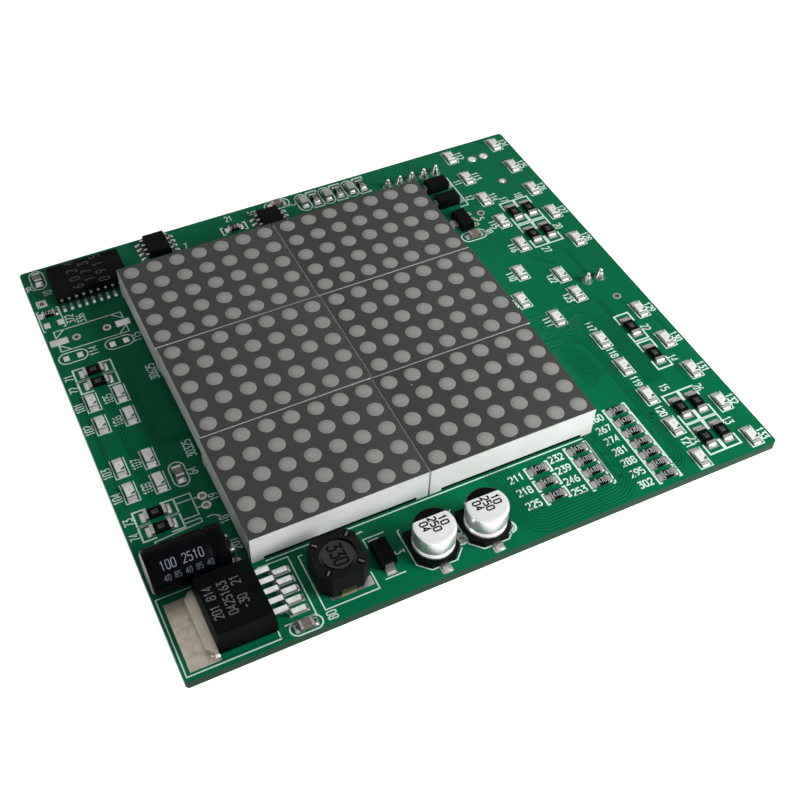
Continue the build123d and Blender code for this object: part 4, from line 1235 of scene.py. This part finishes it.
# Copper routes under the mask. A bundle is its first route and how many there are: side by side to its
# right in the side bundles, and to its left in the others
SIDE_BUNDLES = [
    ([(22.0, -6.6), (36.2, -6.6), (39.4, -9.9), (39.4, -24.6)], 6),
    ([(22.0, -10.1), (31.0, -10.1), (33.6, -12.6), (33.6, -38.0), (32.2, -40.6), (30.6, -40.6)], 3),
    ([(22.0, -11.9), (28.6, -11.9), (30.9, -14.1), (30.9, -18.9), (31.5, -19.7)], 7),
    ([(22.0, -4.1), (34.0, -4.1), (39.6, -4.6), (40.3, -5.4), (40.3, -9.6)], 2),
]
FRONT_BUNDLE = ([(4.2, -29.2), (4.2, -39.4), (6.9, -42.1), (21.6, -42.1), (24.6, -39.2), (24.6, -29.0)], 8)
LEFT_BUNDLES = [
    ([(-38.6, 13.0), (-38.6, -3.4), (-33.0, -3.4)], 2),
    ([(-46.2, 14.6), (-46.2, -12.8)], 1),
    ([(-42.6, 12.0), (-42.6, -12.6)], 2),
]
LONE_ROUTES = [
    [(43.0, -21.8), (43.0, -26.6)],
    [(46.6, -12.6), (46.6, -16.2)],
    [(41.6, 8.4), (41.9, 5.9), (41.9, 1.6)],
    [(43.3, -6.6), (44.6, -8.4)],
    [(33.9, -27.6), (33.9, -29.9), (32.4, -31.6)],
    [(22.4, -30.4), (22.4, -38.4)],
    [(-45.6, -41.9), (-33.0, -41.9)],
    [(35.4, 8.8), (38.0, 6.0)],
    [(30.9, -28.0), (32.2, -29.6)],
    [(30.9, -38.4), (32.4, -39.8)],
]
VIAS = [
    (32.3, -10.8), (29.7, 15.5), (31.7, -20.0), (29.2, -17.4), (32.2, -31.2), (32.2, -33.1), (32.2, -34.5),
    (32.2, -36.9), (33.6, -41.1), (22.4, -31.0), (22.4, -33.5), (22.4, -36.0), (14.6, -30.9), (14.6, -35.9),
    (-37.7, 16.3), (24.4, -32.2),
]


def bracket(silk, x, y, wide, high, arm):
    """The two ends of a rectangle whose longer sides are open in the middle."""
    half_x, half_y = wide / 2, high / 2
    for side in (-1, 1):
        if wide > high:
            end = x + side * half_x
            near = end - side * arm
            points = [(near, y - half_y), (end, y - half_y), (end, y + half_y), (near, y + half_y)]
        else:
            end = y + side * half_y
            near = end - side * arm
            points = [(x - half_x, near), (x - half_x, end), (x + half_x, end), (x + half_x, near)]
        silk.stroke(points, BOX_PEN)


def led_silk(silk):
    """Round every LED a bracket closed at its front end, and its number beside or above it."""
    half_x, half_y = LED_BOX[0] / 2, LED_BOX[1] / 2
    for number, led in enumerate(solids("indicator_leds"), FIRST_LED_NUMBER):
        corners = [(-half_x, half_y), (-half_x, -half_y), (half_x, -half_y), (half_x, half_y)]
        silk.stroke([(led.x + x, led.y + y) for x, y in corners], LED_PEN)
        if led.x < 0:
            silk.write(str(number), led.x - LEFT_LABEL_OFFSET, led.y - LEFT_LABEL_DROP, turn=90)
            continue
        if led.x < 40 and led.y < -10:
            across, up = 0, half_y + LED_LABEL_ABOVE
        else:
            side = 1 if led.x > 40 or led.y > 25 else -1
            across, up = side * LED_LABEL_BESIDE, -LED_LABEL_DROP
        silk.write(str(number), led.x + across, led.y + up, turn=-90, **LED_FIGURES)


def resistor_silk(silk):
    """Open boxes round the resistors, and the numbers of the banks in front."""
    large = solids("large_resistors")
    for part in large:
        silk_box = LARGE_BOX if part.long_x > part.long_y else LARGE_BOX[::-1]
        bracket(silk, part.x, part.y, *silk_box, LARGE_BOX_ARM)
    left = [part for part in large if part.x < 0]
    for text, part in zip(LEFT_RESISTOR_NUMBERS, sorted(left, key=lambda part: -part.y)):
        silk.write(text, board_left + RESISTOR_LABEL_INSET, part.y, turn=90)
    number = FIRST_BANK_NUMBER
    for part in solids("small_resistors"):
        if part.y < 0:
            bracket(silk, part.x, part.y, 2 * SMALL_BOX_REACH, SMALL_BOX_WIDTH, SMALL_BOX_ARM)
            silk.write(str(number), part.x - BANK_NUMBER_OFFSET, part.y, **BANK_FIGURES)
            number += BANK_NUMBER_STEP
        elif part.y < board_rear - 6 or part.x < -20:
            for side in (-1, 1):
                x = part.x + side * REAR_ROW_REACH
                hook = x - side * REAR_ROW_HOOK
                front, rear = REAR_ROW
                silk.stroke([(hook, rear), (x, rear), (x, front), (hook, front)], SILK_PEN)
        else:
            rear_box = (SMALL_BOX_WIDTH, REAR_BOX_LENGTH)
            if part.long_x >= part.long_y:
                rear_box = rear_box[::-1]
            bracket(silk, part.x, part.y, *rear_box, SMALL_BOX_ARM)


def capacitor_silk(silk):
    """Round-ended outlines of the chip capacitors and cut outlines of the upright cans."""
    for part in solids("chip_capacitors"):
        long, short = STADIUM_SIZE
        short = min(short, 2 * (part.y - board_front - STADIUM_PEN / 2 - STADIUM_EDGE_GAP))
        size = (long, short) if part.long_x > part.long_y else (short, long)
        silk.stadium(part.x, part.y, *size, STADIUM_PEN)
    for x, y in BARE_STADIUMS:
        silk.stadium(x, y, *STADIUM_SIZE, STADIUM_PEN)
    half_x, half_y = ROUND_CAP_OUTLINE[0] / 2, ROUND_CAP_OUTLINE[1] / 2
    cut = ROUND_CAP_CUT
    left = [(-half_x + 0.35, half_y), (-half_x, half_y - 0.3), (-half_x, -half_y + cut)]
    left += [(-half_x + cut, -half_y), (-0.75, -half_y)]
    right = [(0.75, -half_y), (half_x - cut, -half_y), (half_x - 0.1, -half_y + cut - 0.1)]
    for base in solids("round_cap_bases"):
        for line in (left, right):
            middle = (base.x + ROUND_CAP_SHIFT[0], base.y + ROUND_CAP_SHIFT[1])
            silk.stroke([(middle[0] + x, middle[1] + y) for x, y in line], SILK_PEN)


def crystal_silk(silk):
    """The empty place of the crystal: two long lines that join cut corners."""
    x, y = CRYSTAL_MIDDLE
    half_x, half_y = CRYSTAL_OUTLINE[0] / 2, CRYSTAL_OUTLINE[1] / 2
    for side_y in (-1, 1):
        ends = []
        for side_x in (-1, 1):
            corner = (x + side_x * half_x, y + side_y * half_y)
            inner = (corner[0] - side_x * CRYSTAL_CORNER * 1.1, corner[1])
            lower = (corner[0], corner[1] - side_y * CRYSTAL_CORNER)
            silk.stroke([corner, inner, lower], SILK_PEN, closed=True)
            ends.append(inner)
        silk.stroke(ends, SILK_PEN)


def box_corners(left, front, right, rear):
    """The corners of a box given by its sides."""
    return [(left, front), (right, front), (right, rear), (left, rear)]


def silk_print():
    """All the pale printing on the board."""
    silk = level_drawing(board_top + SILK_LIFT)
    led_silk(silk)
    resistor_silk(silk)
    capacitor_silk(silk)
    crystal_silk(silk)
    for line in (LEFT_EXTENSION, LEFT_EXTENSION_BAR, CAN_OUTLINE):
        silk.stroke(line, SILK_PEN)
    for x, y in LEFT_HOLES:
        silk.stroke([(LEFT_EXTENSION_BAR[1][0], y), (x - HOLE_RING, y)], SILK_PEN)
    silk.ring(*CAN_RING, SILK_PEN)
    silk.stroke(arc(*CAN_ARC), SILK_PEN)
    silk.box(*EMPTY_BOX, SILK_PEN)
    silk.stroke(box_corners(*REGULATOR_BOX), SILK_PEN, closed=True)
    for line in (box_corners(*LEAD_BOX), INDUCTOR_LINE, DIODE_LINE, DIODE_BAR, DISPLAY_LINE, REAR_LINE):
        silk.stroke(line, SILK_PEN)
    for x, y in FRONT_RINGS:
        silk.ring(x, y, HOLE_RING + FRONT_RING_MARGIN, BOX_PEN)
    for text, x, y, turn in LEFT_NUMBERS + RIGHT_NUMBERS:
        silk.write(text, x, y, turn=turn)
    silk.finish("silk_print", SILK, "board")


def copper_routes():
    """The copper that shows as low ribs under the mask, the darker gaps beside it, and the covered vias."""
    copper = level_drawing(board_top)
    gaps = level_drawing(board_top + GAP_LIFT)
    bundles = [(points, count, -TRACE_PITCH) for points, count in SIDE_BUNDLES]
    bundles += [(points, count, TRACE_PITCH) for points, count in [FRONT_BUNDLE] + LEFT_BUNDLES]
    bundles += [(points, 1, TRACE_PITCH) for points in LONE_ROUTES]
    for points, count, step in bundles:
        for index in range(count):
            copper.ridge(eased(shifted(points, index * step), ROUTE_BEND), TRACE_PEN)
        for index in range(count + 1):
            gaps.stroke(eased(shifted(points, (index - 0.5) * step), ROUTE_BEND), GAP_PEN)
    gaps.ring(*FILLED_HOLE, *FILLED_HOLE_RING)
    gaps.finish("copper_gaps", GAP, "board")
    for x, y in VIAS:
        copper.ridge(circle(x, y, VIA_RADIUS), TRACE_PEN * 0.7, closed=True)
    copper.finish("copper_routes", TRACE, "board")


def open_pads():
    """Tinned pads that no part covers."""
    pads = level_drawing(pad_top)
    for x, length in CRYSTAL_PADS:
        pads.block(x, CRYSTAL_MIDDLE[1] - 0.1, length, CRYSTAL_PAD_WIDTH)
    for x, y in BARE_STADIUMS:
        for side in (-1, 1):
            pads.block(x + side * STADIUM_PAD_REACH, y, *STADIUM_PAD)
    for x, y in BARE_PAIR:
        pads.block(x, y, *PAIR_PAD)
    for box in INDUCTOR_PADS:
        pads.block(*box)
    for end in solids("round_cap_terminals"):
        pads.block(end.x, end.y, end.long_x + TERMINAL_PAD_MARGIN, end.long_y + TERMINAL_PAD_MARGIN)
    pads.finish("open_pads", BRIGHT_PAD, "solder")
    wide = level_drawing(pad_top)
    wide.face(box_corners(*WIDE_PAD_BOX))
    wide.finish("wide_pad", WIDE_PAD, "solder")


def hole_places():
    """The middles of the open holes in the board, read from its walls."""
    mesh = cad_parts["circuit_board"].data
    corners = {tuple(round(c / MM, 2) for c in vert.co.xy) for vert in mesh.vertices}
    groups = []
    for x, y in corners:
        if max(abs(x) - board.long_x / 2, abs(y) - board.long_y / 2) > -EDGE_MARGIN:
            continue
        near = [group for group in groups if any(math.hypot(x - a, y - b) < HOLE_WALL_STEP for a, b in group)]
        merged = [(x, y)] + [corner for group in near for corner in group]
        groups = [group for group in groups if group not in near] + [merged]
    places = []
    for group in groups:
        xs, ys = [corner[0] for corner in group], [corner[1] for corner in group]
        places.append(((min(xs) + max(xs)) / 2, (min(ys) + max(ys)) / 2, max(xs) - min(xs)))
    return places


def plated_holes():
    """Plated barrels with a ring on both faces in the open holes, and rings round the soldered ones."""
    low = board.bottom - PAD_LIFT
    outside = HOLE_RADIUS + BARREL_WALL
    profile = [(HOLE_RING, pad_top), (HOLE_RADIUS, pad_top), (HOLE_RADIUS, low), (HOLE_RING, low)]
    profile += [(HOLE_RING, board.bottom), (outside, board.bottom), (outside, board_top)]
    profile += [(HOLE_RING, board_top)]
    joints = solids("contact_joints")
    places = []
    rings = level_drawing(pad_top)
    for x, y, across in hole_places():
        if any(math.hypot(x - joint.x, y - joint.y) < 0.5 for joint in joints):
            rings.ring(x, y, HOLE_RING, HOLE_RING_PEN)
        elif across > SMALLEST_OPEN_HOLE:
            places.append((x, y, 0, 0, (1, 1, 1)))
        else:
            rings.ring(x, y, *SMALL_HOLE_RING)
    copies("plated_holes", lathe(profile, HOLE_SEGMENTS, looped=True), places, TIN)
    rings.finish("joint_rings", TIN, "solder")


# Solder in place of the plain joints, as outlines of radius and height: cones on the tall contacts, caps on
# the short ones, the cones under the modules and the bead in the filled hole. Then how high a tall contact
# stands, how far each cone is turned from the last, the share of a joint that its contact takes, and a
# module's ring and pen
TALL_CONE = [
    (0, 0), (0.80, 0), (0.78, 0.08), (0.72, 0.32), (0.65, 0.62), (0.56, 0.92), (0.46, 1.18), (0.37, 1.36),
    (0.32, 1.5), (0.30, 1.66), (0.24, 1.82), (0.12, 1.9), (0, 1.9),
]
LOW_CAP = [
    (0, 0), (0.76, 0), (0.74, 0.06), (0.64, 0.17), (0.46, 0.26), (0.34, 0.3), (0.3, 0.35), (0.2, 0.38),
    (0, 0.36),
]
MODULE_CONE = [
    (0, 0), (0.74, 0), (0.72, -0.05), (0.56, -0.18), (0.42, -0.42), (0.33, -0.72), (0.27, -1.0), (0.2, -1.16),
    (0, -1.2),
]
FILLED_BEAD = [(0, -0.1), (0.3, -0.1), (0.42, 0.03), (0.36, 0.1), (0.2, 0.16), (0, 0.18)]
TALL_CONTACT = 1
CONE_TURN = 25
CONTACT_SHARE = 0.3
MODULE_RING = (0.8, 0.36)


def contact_solder():
    """Hollow cones of solder up the long contacts, and low caps over the two short ones."""
    joints = solids("contact_joints")
    tall = [joint for joint in joints if joint.top - board_top > TALL_CONTACT]
    short = [joint for joint in joints if joint.top - board_top <= TALL_CONTACT]
    places = [
        (joint.x, joint.y, board_top, CONE_TURN * number, (1, 1, 1)) for number, joint in enumerate(tall)
    ]
    cone = lathe(TALL_CONE, 20, 60)
    made = copies("contact_cones", cone, places, SOLDER, unevenness=0.03, seed=8)
    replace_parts(made, "contact_joints")
    places = [(joint.x, joint.y, board_top, 0, (1, 1, 0.95)) for joint in short]
    copies("contact_caps", lathe(LOW_CAP, 20, 60), places, SOLDER, seed=9)
    shanks = []
    for joint in joints:
        wide = joint.long_x * CONTACT_SHARE
        shanks.append((joint.x, joint.y, joint.bottom, 0, (wide, wide, board_top - joint.bottom + 0.1)))
    copies("contact_shanks", soft_block(0.04), shanks, LEAD)


def underside_solder():
    """Smooth hanging cones of solder at the modules' pins, with their rings."""
    nodes = [f"display_joints_{module}" for module in MODULES]
    joints = [joint for node in nodes for joint in solids(node)]
    places = [(joint.x, joint.y, board.bottom, 0, (1, 1, 1)) for joint in joints]
    made = copies("module_solder", lathe(MODULE_CONE, 14, 60), places, SOLDER, seed=12)
    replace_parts(made, *nodes)
    rings = level_drawing(board.bottom - PAD_LIFT, below=True)
    for joint in joints:
        rings.ring(joint.x, joint.y, *MODULE_RING)
    rings.finish("module_rings", TIN, "solder")


# Larger parts

def face_plates():
    """The dark front sheets, which run out to the modules' edges and are softly rounded there."""
    for module in MODULES:
        node = f"display_face_{module}"
        plain = solids(node)[0]
        shape = bmesh.new()
        shape.from_mesh(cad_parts[node].data)
        bmesh.ops.remove_doubles(shape, verts=shape.verts, dist=1e-7)
        bmesh.ops.dissolve_limit(shape, angle_limit=0.01, verts=shape.verts, edges=shape.edges)
        bmesh.ops.scale(shape, vec=(1 / MM, 1 / MM, 1 / MM), verts=shape.verts)
        middle = Vector((plain.x, plain.y, 0))
        grow = (1 + 2 * FACE_OVERHANG_X / plain.long_x, 1 + 2 * FACE_OVERHANG_Y / plain.long_y, 1)
        bmesh.ops.translate(shape, vec=-middle, verts=shape.verts)
        bmesh.ops.scale(shape, vec=grow, verts=shape.verts)
        bmesh.ops.translate(shape, vec=middle, verts=shape.verts)
        rim = [edge for edge in shape.edges if all(vert.co.z > plain.top - 0.01 for vert in edge.verts)]
        bmesh.ops.bevel(shape, geom=rim, offset=FACE_EDGE, segments=3, affect="EDGES", profile=0.5)
        plate = finish_piece(mesh_of(shape, 50), f"face_plate_{module}", FACE)
        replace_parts(plate, node)


def housing_hollows():
    """Sheets of painted shade in the space between the board and the modules, set back a hair from their
    sides.
    """
    for module in MODULES:
        housing = solids(f"display_housing_{module}")[0]
        sides = (housing.long_x - 2 * SHADE_SHEET_INSET, housing.long_y - 2 * SHADE_SHEET_INSET)
        corners = rectangle(housing.x, housing.y, *sides)
        shape = bmesh.new()
        low, high = [
            [shape.verts.new((x, y, board_top + height)) for x, y in corners] for height in SHADE_SHEET_HEIGHTS
        ]
        for index in range(4):
            after = (index + 1) % 4
            shape.faces.new([low[index], low[after], high[after], high[index]])
        # Painted shade: a black sheet stands where the gap under the housing is in shadow
        finish_piece(mesh_of(shape), f"hollow_{module}", SHADOW)


def lying_can():
    """The electrolytic's sleeve, drawn in over both ends, round a bare metal can."""
    can = solids("capacitor_can")[0]
    radius = can.long_y / 2
    length = can.long_x
    middle = (can.x - length / 2, can.y, (can.bottom + can.top) / 2)
    groove = length - CAN_GROOVE_PLACE
    side = [(0.28, 0.03), (0.1, 0.16), (0.02, 0.34), (0, 0.55), (0, groove - 0.5), (0.06, groove - 0.34)]
    side += [(0.24, groove - 0.12), (0.3, groove), (0.24, groove + 0.14), (0.07, groove + 0.36)]
    side += [(0.02, groove + 0.55), (0.01, length - 0.5), (0.08, length - 0.2), (0.25, length - 0.04)]
    side += [(0.45, length)]
    profile = [(0, 0.3), (CAN_OPENING, 0.3), (CAN_OPENING, 0.03), (CAN_OPENING + 0.12, 0.0)]
    profile += [(radius - inset, height) for inset, height in side]
    profile += [(CAN_OPENING, length - 0.04), (CAN_OPENING, length - 0.62), (0, length - 0.62)]
    sleeve = lathe(profile, CAN_SEGMENTS, 40, "X", middle)
    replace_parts(finish_piece(sleeve, "can_sleeve", SLEEVE), "capacitor_can")
    # The bare end of the can, recessed and in painted shade
    end = [(0, 0.35), (CAN_OPENING + 0.2, 0.35), (CAN_OPENING + 0.2, 0.12), (CAN_OPENING, -0.02)]
    end += [(CAN_OPENING - 0.2, 0.02), (CAN_OPENING - 0.45, 0.12), (0, 0.12)]
    finish_piece(lathe(end, CAN_SEGMENTS, 40, "X", middle), "can_end", SHADED_CAN_END)
    for name, text, shift, angle, high, pen, width, ink in CAN_LINES:
        wrap = Drawing(round_can(can, radius + PRINT_LIFT), step=CURVED_STEP)
        wrap.write(text, can.x - shift, radius * math.radians(angle), high, pen=pen, width=width)
        wrap.finish(name, ink, "can_sleeve")


def upright_cans():
    """The two upright cans, with a rolled foot, a crimped groove and an eased top."""
    cans = solids("round_cap_cans")
    metal = upright_can_finish(cans[0])
    top_print = level_drawing(cans[0].top + PRINT_LIFT)
    made = []
    for number, can in enumerate(cans, 1):
        radius = can.long_x / 2
        height = can.top - can.bottom
        side = [(0.25, 0), (0.06, 0.05), (0, 0.2), (0, 0.55), (0.06, 0.7), (0.22, 0.8), (0.3, 0.92)]
        side += [(0.26, 1.04), (0.1, 1.16), (0.03, 1.32), (0, 1.6), (0, height - 0.5), (0.04, height - 0.3)]
        side += [(0.14, height - 0.14), (0.3, height - 0.04), (0.48, height)]
        profile = [(0, 0)] + [(radius - inset, up) for inset, up in side] + [(0, height)]
        mesh = lathe(profile, CAN_SEGMENTS, 40, middle=(can.x, can.y, can.bottom))
        made.append(finish_piece(mesh, f"upright_can_{number}", metal))
        for text, across, along in UPRIGHT_LINES:
            top_print.write(text, can.x + across, can.y + along, **UPRIGHT_FIGURES)
    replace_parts(made[0], "round_cap_cans")
    top_print.finish("upright_can_print", BLACK_PRINT, "bare_can")


def part_prints():
    """Plain numbers on the chips, the regulator, the inductor and the resistors."""
    body = solids("regulator_body")[0]
    grey = level_drawing(body.top + PRINT_LIFT)
    left = body.x - body.long_x / 2
    for text, share, shift in REGULATOR_LINES:
        grey.write(text, left + share * body.long_x, body.y + shift, **REGULATOR_FIGURES)
    grey.finish("regulator_print", GREY_PRINT, "chip_plastic")

    chip = solids("driver_chip")[0]
    faint = level_drawing(chip.top + PRINT_LIFT)
    for row, text in enumerate(DRIVER_LINES):
        x = chip.x - DRIVER_FIRST_LINE + row * DRIVER_LINE_STEP
        faint.write(text, x, chip.y, **DRIVER_FIGURES)
    faint.finish("driver_print", FAINT_PRINT, "chip_plastic")

    core = solids("inductor_core")[0]
    dark = level_drawing(core.top + PRINT_LIFT)
    dark.write("330", core.x, core.y, **INDUCTOR_FIGURES)
    dark.finish("inductor_print", BLACK_PRINT, "ferrite")

    for size, text, high, turn, pen, width, ink in RESISTOR_PRINTS:
        parts = solids(size + "_resistors")
        pale = level_drawing(parts[0].top + PRINT_LIFT)
        for part in parts:
            pale.write(text, part.x, part.y, high, turn if part.long_x > part.long_y else -90, pen, width)
        pale.finish(size + "_resistor_print", ink, "resistor")


def led_details():
    """The metal ends of every LED, the dark marks before and on its lens, and the die inside."""
    leds = solids("indicator_leds")
    lens_top = leds[0].top + PRINT_LIFT
    ends, fillets = [], []
    pads = level_drawing(pad_top)
    marks = level_drawing(board_top + LED_BASE + PRINT_LIFT)
    dies, flags = level_drawing(lens_top), level_drawing(lens_top)
    for led in leds:
        x, foot, half = led.x, led.y - LED_LENS / 2, led.long_x / 2
        for side, length in LED_ENDS:
            edge = led.y + side * led.long_y / 2
            size = (led.long_x + LED_END_SKIN, length, LED_BASE + LED_END_SKIN)
            ends.append((x, edge - side * length / 2, board_top, 0, size))
            fillets.append((x, edge, pad_top, facing(side, False), (led.long_x, *LED_FILLET)))
            pads.block(x, edge, led.long_x + LED_PAD_MARGIN, LED_PAD_LENGTH)
        gap = [(-half, -0.2), (half, -0.08), (half, 0.02), (-half, 0.02)]
        marks.face([(x + across, foot + up) for across, up in gap])
        marks.face([(x + across, foot + up) for across, up in LED_CORNER_MARK])
        dies.disc(x + LED_DIE_PLACE[0], led.y + LED_DIE_PLACE[1], LED_DIE_PLACE[2])
        flags.face([(x + half - inset, foot + up) for inset, up in LED_FLAG])
    copies("led_ends", soft_block(), ends, BRIGHT_PAD)
    run_solder("led_fillets", fillets)
    pads.finish("led_pads", TIN, "solder")
    marks.finish("led_marks", LED_MARK, "led")
    flags.finish("led_flags", LED_MARK, "led")
    dies.finish("led_dies", LED_DIE, "led")


def inductor_details():
    """Wire ends over painted-shade discs in the shield's four corner notches, and the winding in the ring
    round its core.
    """
    core = solids("inductor_core")[0]
    shield = solids("inductor_shield")[0]
    reach = shield.long_x / 2 - NOTCH_PLACE
    ends = []
    notches = level_drawing(shield.top + PRINT_LIFT)
    for side_x, side_y in ((-1, -1), (-1, 1), (1, -1), (1, 1)):
        x, y = core.x + side_x * reach, core.y + side_y * reach
        ends.append((x, y, shield.top - 0.04, 45 * side_x * side_y, WIRE_END_SIZE))
        # Painted shade: a dark disc stands for the depth of each notch
        notches.disc(x, y, NOTCH_RADIUS)
    copies("inductor_wire_ends", soft_block(0.2), ends, BRIGHT_WIRE)
    notches.finish("inductor_notches", SHADOW, "ferrite")
    inner = core.long_x / 2 - 0.02
    outer = INDUCTOR_BORE / 2 + 0.02
    profile = [(inner, 0), (outer, 0), (outer, WINDING_THICKNESS), (inner, WINDING_THICKNESS)]
    ring = lathe(profile, 48, middle=(core.x, core.y, shield.top - WINDING_DEPTH), looped=True)
    finish_piece(ring, "winding_ring", WINDING)


def terminal_solder():
    """Run solder at the terminals of the upright cans, and the hole that is filled with solder."""
    bases = solids("round_cap_bases")
    spots = []
    for end in solids("round_cap_terminals"):
        side = 1 if end.y > nearest(bases, end.x, end.y).y else -1
        toe = end.y + side * (end.long_y / 2 - 0.05)
        spots.append((end.x, toe, pad_top, facing(side, False), (end.long_x + 0.3, 0.42, 0.3)))
    run_solder("terminal_solder", spots, seed=6)
    bead = lathe(FILLED_BEAD, 16, 60)
    copies("filled_hole", bead, [(*FILLED_HOLE, board_top, 0, (1, 1, 1))], SOLDER)


def tab_solder():
    """The bright runs of solder at the front end of the tab."""
    tab = solids("regulator_tab")[0]
    left = tab.x - tab.long_x / 2
    front = tab.y - tab.long_y / 2
    spots = [
        (left + 1.3, front + 0.1, pad_top, 180, (0.8, 0.45, 0.6)),
        (left + 0.8, front + 0.4, pad_top, 140, (0.5, 0.35, 0.3)),
    ]
    copies("tab_solder", fillet_form(), spots, SOLDER)


studio()
camera()
dress_nodes()
dot_lenses()
face_plates()
housing_hollows()
lying_can()
upright_cans()
copper_routes()
open_pads()
plated_holes()
silk_print()
contact_solder()
underside_solder()
part_prints()
led_details()
inductor_details()
tab_solder()
terminal_solder()
shoulder_glints()
chip_ends()
lead_solder()
